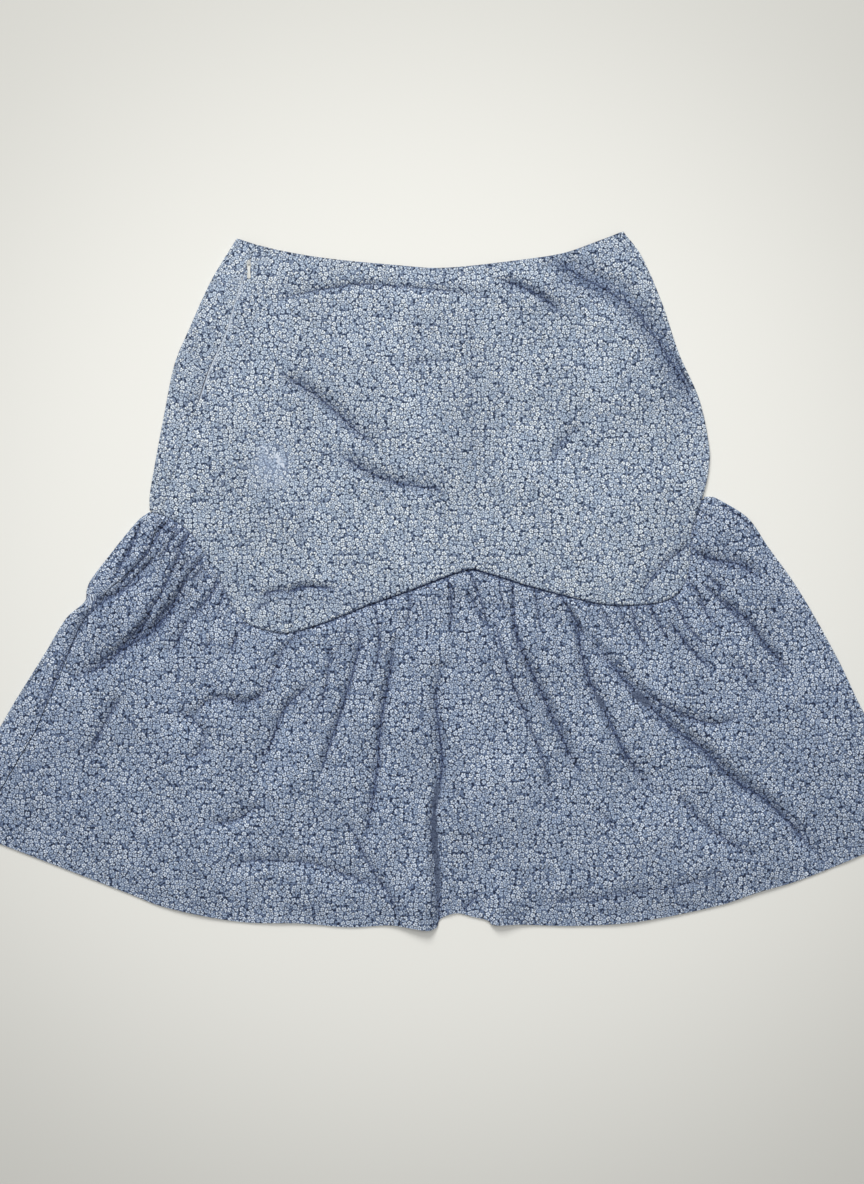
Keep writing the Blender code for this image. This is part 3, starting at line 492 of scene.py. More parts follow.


# creases: wide ones share out the rise, fine ones are troughs with a soft bank each side
# darkest caps the painted shade in a crease
fold = {"width": 1.4, "depth": 1.8, "sharp": 0.6, "darkest": 2.1, "bank": 0.28, "farSide": 9.0,
        "endFade": 0.3}
yokeCreases = {
    # x, y at the start, the middle and the end, half width, depth as a share of the rise
    "wide": [
        (-147.5, 202, -103, 172, -65.5, 143, 12, 0.7),
        (-80.5, 121, -44, 102, 0.5, 98, 12, 0.6),
        (-161.5, 274, -70, 298, 67.5, 272, 10, 0.6),
        (70.5, 300, 104, 282, 133.5, 250, 10, 0.5),
        (112, 326, 208, 264, 268, 165, 21, 1),
        (148.5, 154, 130, 138, 119.5, 113, 14, 0.5),
        (-176.5, -24, -145, -12, -105.5, -9, 12, 0.5),
        (-128.5, 81, -130, 50, -128.5, 26, 12, 0.35),
    ],
    # half width, depth, points
    "fine": [
        (4.6, 1.05, [(-156, 210), (-117.5, 187), (-91.5, 165), (-66, 143), (-44, 134)]),
        (4.6, 1.05, [(-98, 130), (-80.5, 119), (-54.5, 105), (-25.5, 96), (2, 92), (24, 84)]),
        (2.4, 0.7, [(-161.5, 274), (-143.5, 283), (-106.5, 291), (-69.5, 296), (-32.5, 294), (22.5, 289), (48.5, 287),
            (67.5, 272)]),
        (3.2, 1.2, [(66, 303), (93.5, 292), (115.5, 280), (134, 262)]),
        (8.4, 2.3, [(104, 336), (122, 322), (147, 305), (174, 291), (200, 273), (219, 250), (238, 221), (253, 197),
            (270, 150)]),
        (4, 0.6, [(148.5, 154), (130.5, 139), (119.5, 113)]),
        (2.4, 0.9, [(-170, -15), (-156, -10), (-143, -9)]),
        (2.6, 1.1, [(-150, -13), (-128, -6), (-106, -7), (-90, -10)]),
        (2, 0.6, [(-180, -32), (-168, -25), (-156, -17)]),
        (3.4, 0.7, [(212, -26), (214, -6), (236, 20), (260, 40), (270, 64)]),
        (3, 0.4, [(-32.5, 213), (-3.5, 220), (22.5, 219)]),
        (4, 0.16, [(41.5, 281), (40.5, 181), (42.5, 81)]),
        (3, 0.35, [(-128.5, 81), (-129.5, 53), (-128.5, 26)]),
    ],
}
flounceCreases = {
    "wide": [
        (158.5, -58, 245, -150, 384.5, -270, 13, 0.95),
        (124.5, -18, 170, -120, 234.5, -222, 12, 0.85),
        (79.5, -16, 108, -106, 158.5, -211, 11, 0.7),
        (59.5, -16, 70, -78, 82.5, -140, 9, 0.6),
        (36.5, -10, 46, -30, 57.5, -52, 9, 0.6),
        (13.5, -75, 6, -190, 7.5, -330, 12, 0.95),
        (-35.5, -49, -52, -165, -68.5, -276, 12, 0.85),
        (-67.5, -40, -90, -128, -114.5, -210, 11, 0.75),
        (-114.5, -99, -152, -140, -173.5, -192, 14, 0.65),
        (-117.5, -46, -165, -98, -196.5, -137, 12, 0.5),
        (-237.5, -137, -222, -124, -208.5, -116, 10, 0.6),
        (-255.5, -128, -226, -158, -252.5, -181, 12, 0.6),
        (-243.5, -8, -288, -54, -365.5, -100, 15, 0.9),
        (-273.5, 18, -330, -22, -391.5, -99, 10, 0.6),
        (-308.5, -113, -327, -146, -340.5, -183, 12, 0.5),
        (-208.5, -295, -150, -280, -29.5, -310, 12, 0.6),
        (-170.5, -222, -196, -237, -226.5, -242, 10, 0.4),
        (-232.5, -19, -262, -60, -286.5, -74, 10, 0.6),
        (234.5, -35, 262, -65, 288.5, -92, 9, 0.5),
        (294.5, -21, 331, -62, 356.5, -106, 10, 0.5),
        (268.5, 27, 302, 24, 331.5, 1, 10, 0.7),
        (248.5, -132, 276, -142, 302.5, -153, 10, 0.5),
        (243.5, -211, 290, -258, 328.5, -279, 11, 0.5),
        (110.5, -197, 117, -220, 121.5, -242, 9, 0.5),
        (34, -250, 33, -295, 32, -333, 17, 0.85),
        (302.5, -78, 316, -98, 328.5, -118, 9, 0.4),
    ],
    "fine": [
        (4.2, 2, [(150, -44), (158.5, -58), (175.5, -78), (198.5, -106), (243.5, -149), (271.5, -169), (299.5, -197),
            (333.5, -219), (384.5, -270), (420, -300)]),
        (3, 1.4, [(124.5, -18), (144.5, -47), (149.5, -72), (158.5, -101), (175.5, -135), (192.5, -171),
            (214.5, -202), (234.5, -222)]),
        (3.2, 1.6, [(79.5, -16), (84.5, -55), (107.5, -106), (130.5, -157), (147.5, -191), (158.5, -211)]),
        (2.2, 0.7, [(36.5, -10), (46.5, -31), (56.5, -50)]),
        (2.4, 0.75, [(59.5, -16), (68, -60), (77.5, -92), (94.5, -136), (113, -185), (122, -242)]),
        (2.4, 0.6, [(169.5, -231), (176.5, -241), (183.5, -251)]),
        (3, 0.8, [(243.5, -211), (271.5, -242), (299.5, -262), (328.5, -279)]),
        (2.6, 0.95, [(234.5, -35), (248.5, -55), (271.5, -81), (288.5, -92)]),
        (2.2, 0.6, [(263.5, -13), (277.5, -38), (288.5, -52)]),
        (2.6, 1.15, [(282, -12), (294.5, -21), (316.5, -41), (333.5, -64), (348.5, -81), (356.5, -106)]),
        (3.6, 1.2, [(262, 28), (286, 20), (308.5, 16), (334, -4)]),
        (3, 0.95, [(205, -102), (232, -124), (262, -138), (288, -142), (316, -130)]),
        (1.5, 0.8, [(279, 82), (303.5, 67), (318.5, 55), (334, 35), (354, 5)]),
        (2, 0.7, [(-101, -58), (-106, -108), (-124, -146)]),
        (4, 0.45, [(96, -322), (180, -313), (250, -303), (322, -284)]),
        (2.6, 0.75, [(-84, -238), (-62, -283), (-40, -318), (-28, -350)]),
        (3, 0.9, [(-212, -112), (-196, -120), (-180, -119), (-164, -104)]),
        (2.6, 0.6, [(302.5, -78), (316.5, -99), (328.5, -118)]),
        (1.7, 0.9, [(253.5, 3), (266.5, -13), (277.5, -41)]),
        (1.7, 0.9, [(266.5, 2), (292.5, -24), (319.5, -52)]),
        (1.7, 0.7, [(273.5, 7), (284.5, -3), (296.5, -11)]),
        (1.7, 0.6, [(260.5, 34), (270.5, 24), (279.5, 17)]),
        (3.2, 1.7, [(12.5, -75), (5.5, -104), (5.5, -129), (10.5, -185), (2.5, -231), (5.5, -294), (7.5, -327),
            (9, -410)]),
        (3, 1.3, [(-35.5, -49), (-41.5, -90), (-50.5, -142), (-53.5, -181), (-59.5, -222), (-67.5, -274)]),
        (2.8, 1.1, [(-67.5, -40), (-76.5, -84), (-91.5, -134), (-105.5, -175), (-114.5, -210)]),
        (2.8, 0.9, [(-114.5, -99), (-144.5, -125), (-158.5, -157), (-173.5, -192)]),
        (2.6, 0.6, [(-117.5, -46), (-144.5, -63), (-155.5, -87), (-167.5, -113), (-182.5, -122), (-196.5, -137)]),
        (2.4, 0.6, [(-237.5, -137), (-226.5, -122), (-208.5, -116), (-182.5, -120)]),
        (2.4, 0.6, [(-255.5, -128), (-237.5, -139), (-226.5, -157), (-232.5, -172), (-252.5, -181)]),
        (4.5, 1.4, [(-243.5, -2), (-273.5, -46), (-299.5, -63), (-334.5, -87), (-367.5, -99)]),
        (2.8, 1, [(-276.5, -19), (-290.5, -51), (-308.5, -72)]),
        (2.4, 0.8, [(-273.5, 16), (-299.5, -5), (-340.5, -31), (-361.5, -69), (-375.5, -99), (-396.5, -151)]),
        (2.8, 0.8, [(-308.5, -113), (-323.5, -137), (-337.5, -166), (-340.5, -183)]),
        (2.2, 0.8, [(-240.5, -34), (-250.5, -55), (-261.5, -75)]),
        (2.2, 0.9, [(-208.5, 4), (-226.5, -22), (-243.5, -40)]),
        (2, 0.7, [(-217.5, -57), (-223.5, -65), (-229.5, -72)]),
        (3, 0.6, [(-208.5, -295), (-182.5, -280), (-152.5, -280), (-114.5, -283), (-64.5, -301), (-26.5, -310)]),
        (2.8, 0.7, [(-170.5, -222), (-196.5, -239), (-226.5, -242)]),
        (2.4, 0.8, [(-345.5, -22), (-313.5, -11), (-281.5, 18), (-266.5, 36)]),
        (2, 0.8, [(-191.5, -48), (-197.5, -62), (-200.5, -75)]),
        (2, 0.6, [(-191.5, -48), (-187.5, -43), (-179.5, -42), (-164.5, -48)]),
        (2.2, 1, [(-243.5, 8), (-259.5, -27), (-276.5, -47), (-286.5, -59)]),
        (1.8, 0.8, [(-296.5, 41), (-306.5, 23), (-316.5, 1)]),
        (2.4, 0.9, [(48.5, -312), (38.5, -322), (28.5, -331)]),
    ],
    # short tucks that start in the seam
    "tucks": [
        (1.5, 0.9, [(-290.5, 57), (-298.5, 36), (-305.5, 16)]),
        (1.5, 0.8, [(-261.5, 60), (-273.5, 49), (-284.5, 37)]),
        (1.4, 0.7, [(-254.5, 55), (-261.5, 49), (-267.5, 42)]),
        (1.5, 0.9, [(-240.5, 60), (-253.5, 47), (-264.5, 35)]),
        (1.4, 0.7, [(-249.5, 38), (-253.5, 33), (-257.5, 28)]),
        (1.4, 0.7, [(-242.5, 21), (-248.5, 13), (-254.5, 9)]),
        (1.6, 1, [(-230.5, 22), (-241.5, 7), (-256.5, -19), (-270.5, -33), (-286.5, -60)]),
        (1.5, 0.8, [(-228.5, 14), (-233.5, 7), (-237.5, 1)]),
        (1.5, 0.9, [(-266, 57), (-283, 29), (-302, 7), (-319, -15)]),
        (1.4, 0.7, [(-252, 54), (-266, 29), (-272, 18)]),
        (1.6, 1, [(-241, 49), (-255, 18), (-272, -17), (-287, -37)]),
        (2, 0.9, [(-285, -39), (-308, -64), (-324, -81)]),
        (1.6, 0.9, [(81, -1), (82, -31), (89, -66)]),
        (1.5, 0.8, [(103, -7), (106, -30), (109, -52)]),
        (1.7, 0.9, [(127, -12), (143, -37), (156, -62)]),
        (1.4, 0.7, [(186, -22), (190, -34), (193, -46)]),
        (1.5, 0.9, [(199, -23), (206, -52), (217, -70)]),
        (1.5, 0.8, [(216, -22), (228, -46), (240, -64)]),
        (1.5, 0.9, [(240, -17), (257, -47), (276, -67)]),
        (1.5, 0.8, [(39, 9), (52, -28), (59, -62)]),
        (1.5, 0.8, [(16, 4), (20, -26), (17, -58)]),
        (1.5, 0.8, [(-57, -20), (-52, -62), (-58, -100)]),
        (1.4, 0.7, [(-20, -8), (-22, -30), (-27, -52)]),
        (1.4, 0.7, [(-84, -30), (-86, -52), (-94, -74)]),
        (1.4, 0.6, [(168, -20), (174, -36), (182, -54)]),
        (1.4, 0.6, [(66, 6), (70, -16), (76, -40)]),
        (1.4, 0.7, [(-279.5, 21), (-285.5, 14), (-291.5, 8)]),
    ],
}


def riseLeft(creases, x, y):
    left = np.ones_like(x)
    u = np.linspace(0, 1, 17)
    for x0, y0, xm, ym, x1, y1, halfWidth, depth in creases:
        bendX = 2 * xm - (x0 + x1) / 2
        bendY = 2 * ym - (y0 + y1) / 2
        lineX = (1 - u)**2 * x0 + 2 * u * (1 - u) * bendX + u**2 * x1
        lineY = (1 - u)**2 * y0 + 2 * u * (1 - u) * bendY + u**2 * y1
        distance = np.hypot(x[..., None] - lineX, y[..., None] - lineY)
        nearest = distance.min(axis=-1)
        where = u[distance.argmin(axis=-1)]
        fade = smoothStep(where / 0.15 + 0.35) * smoothStep((1 - where) / 0.25 + 0.25)
        left = left * (1 - depth * fade * np.exp(-(nearest / halfWidth)**2))
    return left


class Relief:
    # height change, painted shade in the folds, and the nearest crease line with how sharp it is
    def __init__(self, shape):
        self.change = np.zeros(shape)
        self.paintedShade = np.zeros(shape)
        self.side = np.full(shape, fold["farSide"])
        self.sharp = np.zeros(shape)
        self.pale = np.zeros(shape)

    # crease lines: a bump groove that is also drawn darker as painted shade
    def drawLine(self, where, side, sharp):
        sharp = sharp * smoothStep(2 - np.abs(side) / 2.4)
        closer = (np.abs(side) < np.abs(self.side[where])) & (sharp > 0.02)
        self.side[where] = np.where(closer, side, self.side[where])
        self.sharp[where] = np.where(closer, sharp, self.sharp[where])

    def pressIn(self, x, y, creases, fromSeam=False):
        for halfWidth, depth, points in creases:
            halfWidth, depth = halfWidth * fold["width"], depth * fold["depth"]
            line = Line(points)
            margin = halfWidth * 5
            low = line.points.min(axis=0) - margin
            high = line.points.max(axis=0) + margin
            near = (x > low[0]) & (x < high[0]) & (y > low[1]) & (y < high[1])
            px = x[near]
            py = y[near]
            best = np.full(px.shape, 1e9)
            where = np.zeros(px.shape)
            hand = np.ones(px.shape)
            for (ax, ay), (rx, ry), travelled in zip(line.points[:-1], np.diff(line.points, axis=0), line.lengths):
                size = rx * rx + ry * ry
                along = np.clip(((px - ax) * rx + (py - ay) * ry) / size, 0, 1)
                distance = np.hypot(px - ax - along * rx, py - ay - along * ry)
                closer = distance < best
                best[closer] = distance[closer]
                where[closer] = (travelled + along[closer] * math.sqrt(size)) / line.length
                hand[closer] = np.sign(rx * (py - ay) - ry * (px - ax))[closer]
            start = 1.0 if fromSeam else smoothStep(where / 0.22 + 0.1)
            fade = start * smoothStep((1 - where) / fold["endFade"] + 0.05)
            trough = np.exp(-(best / halfWidth)**2)
            bank = np.exp(-((best - 2.1 * halfWidth) / (1.1 * halfWidth))**2)
            self.change[near] += depth * fade * (fold["bank"] * bank - trough)
            self.paintedShade[near] = np.maximum(self.paintedShade[near], fade * min(depth, fold["darkest"]) * trough)
            self.drawLine(near, best * hand, fade * min(depth, 1.6) * fold["sharp"])


# soft blobs of painted shade, or painted light where the amount is below zero
def addShades(relief, x, y, shades):
    for centreX, centreY, width, height, amount in shades:
        relief.paintedShade += amount * np.exp(-((x - centreX) / width)**2 - ((y - centreY) / height)**2)


def joined(count, *reliefs):
    # panels side by side; a number stands for that many plain columns
    whole = Relief((count, 0))
    for name in ("change", "paintedShade", "side", "sharp", "pale"):
        plain = fold["farSide"] if name == "side" else 0.0
        parts = [np.full((count, r), plain) if isinstance(r, int) else getattr(r, name) for r in reliefs]
        setattr(whole, name, np.concatenate(parts, axis=1))
    return whole


def addFlatMap(mesh, place):
    # where each point lies on the flat cloth, in millimetres
    loops = np.zeros(len(mesh.loops), dtype=np.int32)
    mesh.loops.foreach_get("vertex_index", loops)
    mesh.uv_layers.new(name="cloth").data.foreach_set("uv", (place * mm)[loops].ravel().astype(np.float32))


def clothShell(name, node, points, flat, relief, materials):
    # fine outer face, coarser inner face, joined round its rim
    rows, columns = points.shape[:2]
    rows -= 1 - rows % 2
    columns -= 1 - columns % 2
    points = points[:rows, :columns]
    across = np.gradient(points, axis=1)
    down = np.gradient(points, axis=0)
    normals = np.cross(across, -down)
    normals /= np.linalg.norm(normals, axis=2, keepdims=True)
    outer = (points + normals * lay["thick"] / 2).reshape(-1, 3)
    # the coarser inner face keeps behind every dip of the outer one
    behind = np.zeros((rows, columns))
    for i in (-2, -1, 0, 1, 2):
        for j in (-2, -1, 0, 1, 2):
            nearRows = np.clip(np.arange(rows) + i, 0, rows - 1)
            nearColumns = np.clip(np.arange(columns) + j, 0, columns - 1)
            beside = points[nearRows][:, nearColumns]
            behind = np.maximum(behind, -((beside - points) * normals).sum(axis=2))
    inner = (points - normals * (lay["thick"] / 2 + np.minimum(behind, lay["deepestDip"]))[..., None])[::2, ::2]
    innerRows, innerColumns = inner.shape[:2]
    outerIndex = np.arange(rows * columns).reshape(rows, columns)
    innerIndex = rows * columns + np.arange(innerRows * innerColumns).reshape(innerRows, innerColumns)

    def quads(index):
        corners = (index[:-1, :-1], index[1:, :-1], index[1:, 1:], index[:-1, 1:])
        return np.stack([c.ravel() for c in corners], axis=1)

    faces = quads(outerIndex).tolist() + quads(innerIndex)[:, ::-1].tolist()
    outside = len(quads(outerIndex))
    borders = ((outerIndex[:, 0], innerIndex[:, 0]), (outerIndex[-1, :], innerIndex[-1, :]),
               (outerIndex[::-1, -1], innerIndex[::-1, -1]), (outerIndex[0, ::-1], innerIndex[0, ::-1]))
    for fine, coarse in borders:
        for k in range(len(coarse) - 1):
            a, b, c = fine[2 * k:2 * k + 3].tolist()
            d, e = coarse[k:k + 2].tolist()
            faces += [(b, a, d), (b, d, e), (c, b, e)]
    mesh = bpy.data.meshes.new(name)
    mesh.from_pydata((np.vstack([outer, inner.reshape(-1, 3)]) * mm).tolist(), [], faces)
    addFlatMap(mesh, np.vstack([flat[:rows, :columns].reshape(-1, 2), flat[:rows:2, :columns:2].reshape(-1, 2)]))
    # the painted shade goes out as the fold attribute
    for attribute, values in (("fold", relief.paintedShade), ("creaseSide", relief.side), ("creaseDepth", relief.sharp),
                              ("paleEdge", relief.pale)):
        values = np.concatenate([values[:rows, :columns].ravel(), values[:rows:2, :columns:2].ravel()])
        mesh.attributes.new(attribute, "FLOAT", "POINT").data.foreach_set("value", values.astype(np.float32))
    for material in materials:
        mesh.materials.append(material)
    slots = np.zeros(len(faces), dtype=np.int32)
    slots[outside:outside + len(quads(innerIndex))] = 1
    mesh.polygons.foreach_set("material_index", slots)
    mesh.shade_smooth()
    mesh.set_sharp_from_angle(angle=math.radians(60))
    mesh.validate()
    piece = bpy.data.objects.new(name, mesh)
    scene.collection.objects.link(piece)
    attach(piece, "skirt")
    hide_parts(node)
    print(f"{name}: {rows} x {columns} points")
    return piece


def underFront(height, front):
    return np.maximum(np.minimum(height, front - lay["thick"] - lay["betweenLayers"]), lay["backZ"])


def spaced(count, fine):
    # shares from 0 to 1: a few close ones first, then even steps
    return np.concatenate([fine, np.linspace(fine[-1], 1, count - len(fine) + 1)[1:]])


def frontPanel(name, node, tube, heightAt, down, columns, rightEnd, cotton):
    start = tube.seamShare(down[:, 0], 1)[:, None]
    end = 1 - (lay["foldInset"] + lay["frontFromFold"]) / tube.width(down[:, 0])[:, None]
    across = start + (end - start) * columns
    height, relief = heightAt(tube, across, down)
    plan = tube.plan(across, down)
    points = np.concatenate([np.dstack([plan, height]), rightEnd[0]], axis=1)
    flat = np.concatenate([plan, rightEnd[1]], axis=1)
    relief = joined(len(down), relief, len(lay["overTurn"]))
    return clothShell(name, node, points, flat, relief, (cotton, insideCotton))


def mirroredAt(edge, down, plan):
    # where cloth that has turned over the left fold lies when it is unfolded
    outwards = edge.rightOf(down)[:, None, :]
    axis = edge.at(down)[:, None, :] - outwards * lay["foldInset"]
    inside = -((plan - axis) * outwards).sum(axis=2, keepdims=True)
    around = lay["foldRadius"] * math.pi
    return plan + outwards * (2 * inside + around)


def backPanel(name, node, tube, heightAt, down, under, rightEnd, cotton):
    # it lies underneath, turns over the left fold and runs on to the side seam
    plan, height, hidden = under
    turned, turnedFlat = tube.turn(-1, down[:, 0], lay["wholeTurn"])
    first = (lay["foldInset"] + lay["wrapFromFold"]) / tube.width(down[:, 0])[:, None]
    last = tube.seamShare(down[:, 0], -1)[:, None]
    shares = 1 - spaced(lay["wrapColumns"], lay["wrapClose"])[::-1]
    wrapped = first + (last - first) * shares[None, :]
    wrapHeight, wrapRelief = heightAt(tube, wrapped, down)
    wrapPlan = tube.plan(wrapped, down)
    points = np.concatenate([rightEnd[0], np.dstack([plan, height]), turned, np.dstack([wrapPlan, wrapHeight])],
                            axis=1)
    flat = np.concatenate([rightEnd[1], plan, turnedFlat, mirroredAt(tube.left, down[:, 0], wrapPlan)], axis=1)
    relief = joined(len(down), len(lay["underTurn"]), hidden, len(lay["wholeTurn"]), wrapRelief)
    return clothShell(name, node, points, flat, relief, (cotton, insideCotton))


def hiddenCreases(creases, x, y):
    # the unseen back has the front's creases, mirrored, wider and shallower
    widen, lessen = lay["hiddenCrease"]
    relief = Relief(x.shape)
    relief.pressIn(x, y, [(width * widen, depth * lessen, [(-a, b) for a, b in points])
                          for width, depth, points in creases])
    return relief


yoke = {
    "puff": 2.2,
    "length": 330.0,
    "zipRise": 2.2,
    "zipSpread": 14.0,
    "zipEnd": 0.6,
    "underPull": {"x": -182.0, "y": 309.5, "halfWidth": 2.4, "halfLength": 9.0, "edge": 2.0, "depth": 0.22},
    # share down, width in mm of the painted highlight on the seam's folded edge, how pale
    "paleEdge": [(0.1, 0.8, 0.0), (0.12, 1.1, 0.8), (0.3, 1.3, 0.85), (0.47, 1.3, 0.85), (0.56, 1.2, 0.8),
                 (0.585, 0.8, 0.0)],
    # painted shade: x, y, half width, half height, how much darker
    "shades": [(-125, -16, 85, 13, 1.0), (246, 200, 16, 45, 0.6), (132, 290, 38, 16, 0.7), (160, 322, 50, 14, 0.5),
               (248, 8, 30, 34, 0.55), (-205, 10, 26, 40, 0.4)],
    # share down, how much painted shade lies on the back's edge where the seam gapes
    "zipShade": [(0.36, 0.0), (0.44, 0.5), (0.5, 1.0), (0.57, 0.9), (0.6, 0.0)],
    "foldEnd": (0.715, 0.765),
    "seamRoll": 0.8,
    "seamRollWidth": 1.0,
    # height, size and seed of each kind of bump
    "uneven": [(0.6, 48, 3), (0.35, 19, 4), (0.10, 8, 5)],
    "edgeRoll": [(0.09, 0.8), (0.13, 0.1), (0.56, 0.1), (0.6, 0.25)],
    "endDrop": [(2.0, 0.0), (1.4, 0.1), (0.9, 0.3), (0.5, 0.65), (0.15, 1.1)],
    "waistDark": 1.9,
    "backWaistRise": 0.4,
    "frontRows": 181,
    "frontColumns": 236,
    "backRows": 101,
    "backColumns": 70,
    # shares of the first few rows or columns, which lie close together beside a seam
    "rowsClose": (0, 0.0014, 0.003, 0.005, 0.0075),
    "columnsClose": (0, 0.0012, 0.0028, 0.005, 0.008),
    "backRowsClose": (0, 0.002, 0.006),
}


def yokeHeight(tube, across, down):
    plan = tube.plan(across, down)
    x = plan[..., 0]
    y = plan[..., 1]
    rise = yoke["puff"] * riseLeft(yokeCreases["wide"], x, y)
    rise = rise * smoothStep(down / 0.12 + 0.25) * smoothStep((1 - down) / 0.1 + 0.5)
    seam = tube.plan(tube.seamShare(down[:, 0], 0)[:, None], down)
    beside = np.hypot(x - seam[..., 0], y - seam[..., 1])
    hold = np.exp(-(beside / yoke["zipSpread"])**4) * (1 - smoothStep((down - yoke["zipEnd"]) / 0.12))
    relief = Relief(x.shape)
    relief.pressIn(x, y, yokeCreases["fine"])
    addShades(relief, x, y, yoke["shades"])
    uneven = unevenness(x, y, yoke["uneven"])
    edges = smoothStep(down / 0.03) * smoothStep((1 - down) / 0.03)
    change = (relief.change + uneven * (0.35 + 0.65 * edges)) * (1 - 0.7 * hold)
    # the pull presses the cloth in a little where it lies
    pull = yoke["underPull"]
    aside = np.maximum(np.abs(x - pull["x"]) - pull["halfWidth"], 0)
    along = np.maximum(np.abs(y - pull["y"]) - pull["halfLength"], 0)
    change = change - pull["depth"] * np.exp(-(np.hypot(aside, along) / pull["edge"])**2)
    # the two edges of the side seam and the lower edge roll down to their stitches
    change = change - tableAt(yoke["edgeRoll"], down) * np.exp(-(beside / 1.9)**2)
    fromEdge = (across - tube.seamShare(down[:, 0], 1)[:, None]) * tube.width(down[:, 0])[:, None]
    # painted highlight where the front's folded edge meets the seam
    edgeWidth = tableAt(yoke["paleEdge"], down) * (1 + 0.5 * softNoise(x, y, 7, 21))
    strength = tableAt(yoke["paleEdge"], down, 2)
    relief.pale = np.where(fromEdge > -0.2, strength * smoothStep(1.5 - fromEdge / np.maximum(edgeWidth, 0.3)), 0)
    # painted shade on the back's edge where the seam gapes
    shade = tableAt(yoke["zipShade"], down) * np.exp(-(beside / 5.0)**2)
    relief.paintedShade = relief.paintedShade + np.where(fromEdge < 0, shade, 0)
    fromSeam = -tube.seamLine.beside(x, y, np.broadcast_to(down > 0.9, x.shape))
    fromSeam = np.where(fromSeam < -50, 99.0, np.maximum(fromSeam, 0))
    sink = tableAt(flounce["seamSink"], x)
    change = change + 0.5 * sink * np.exp(-(fromSeam / 7)**2)
    change = change - yoke["seamRoll"] * np.exp(-(fromSeam / yoke["seamRollWidth"])**2)
    # painted shade along the yoke's lower edge at the seam
    relief.paintedShade = np.maximum(relief.paintedShade, 0.9 * sink * np.exp(-(fromSeam / 0.9)**2))
    fromWaist = down * yoke["length"]
    relief.paintedShade = np.maximum(relief.paintedShade, yoke["waistDark"] * np.exp(-(fromWaist / 1.5)**2))
    height = tube.atFolds(across, down, lay["frontZ"] + rise * (1 - hold) + yoke["zipRise"] * hold) + change
    lowest = np.where(fromSeam < 5, lay["seamTopZ"], lay["lowestFront"])
    return np.maximum(height, lowest), relief


def rightTurn(tube, down, under):
    if under:
        return tube.turn(1, down, lay["underTurn"], -lay["parted"])
    return tube.turn(1, down, lay["overTurn"], lay["parted"])


def yokeRightEnd(tube, down, under):
    turned, flat = rightTurn(tube, down, under)
    inwards = tube.right.rightOf(down)
    seam = []
    for distance, drop in yoke["endDrop"]:
        plan = tube.right.at(down) + inwards * distance
        z = lay["backZ"] if under else lay["foldAxisZ"] + lay["foldRadius"] - drop
        seam.append(np.column_stack([plan, np.full(len(down), z)]))
    seam = np.stack(seam[::-1] if under else seam, axis=1)
    low, high = yoke["foldEnd"]
    share = np.clip((down - low) / (high - low), 0, 1)[:, None, None]
    return turned * (1 - share) + seam * share, flat


def buildYoke():
    lower, _ = scallopLine()
    bottom = Line(lower, smooth=False).moved(-skirt["seamGap"] / 2)
    tube = Tube(Line(skirt["waist"]), bottom, Line(skirt["yokeLeft"]), Line(skirt["yokeRight"]),
                skirt["yokeSideSeam"])
    tube.seamLine = Line(Line(lower, smooth=False).at(np.linspace(0, 1, 700)), smooth=False)
    down = np.sort(1 - spaced(yoke["frontRows"], yoke["rowsClose"]))[:, None]
    columns = spaced(yoke["frontColumns"], yoke["columnsClose"])
    front = frontPanel("yokeFront", "yoke_front", tube, yokeHeight, down, columns,
                       yokeRightEnd(tube, down[:, 0], False), yokeCotton)

    down = np.sort(1 - spaced(yoke["backRows"], yoke["backRowsClose"]))[:, None]
    across = np.linspace(1, 0, yoke["backColumns"] + 2)[None, 1:-1]
    plan = tube.plan(across, down)
    plan[..., 1] += yoke["backWaistRise"] * np.sin(math.pi * across) * (1 - smoothStep(down / 0.1))
    hidden = hiddenCreases(yokeCreases["fine"], plan[..., 0], plan[..., 1])
    height = lay["backZ"] + (np.maximum(-hidden.change, 0) * smoothStep(np.minimum(across, 1 - across) / 0.06)
                             * smoothStep((1 - down) / 0.02))
    height = underFront(height, yokeHeight(tube, across, down)[0])
    back = backPanel("yokeBack", "yoke_back", tube, yokeHeight, down, (plan, height, hidden),
                     yokeRightEnd(tube, down[:, 0], True), yokeBackCotton)
    return tube, front, back


def scallopLine():
    lower = Line(skirt["scallops"]).at(np.linspace(0, 1, 97))
    upper = Line(skirt["yokeRight"]).at(np.array([0.96, 0.9, 0.83, 0.765]))
    return lower, np.vstack([lower, upper, [skirt["seamRightEnd"]]])


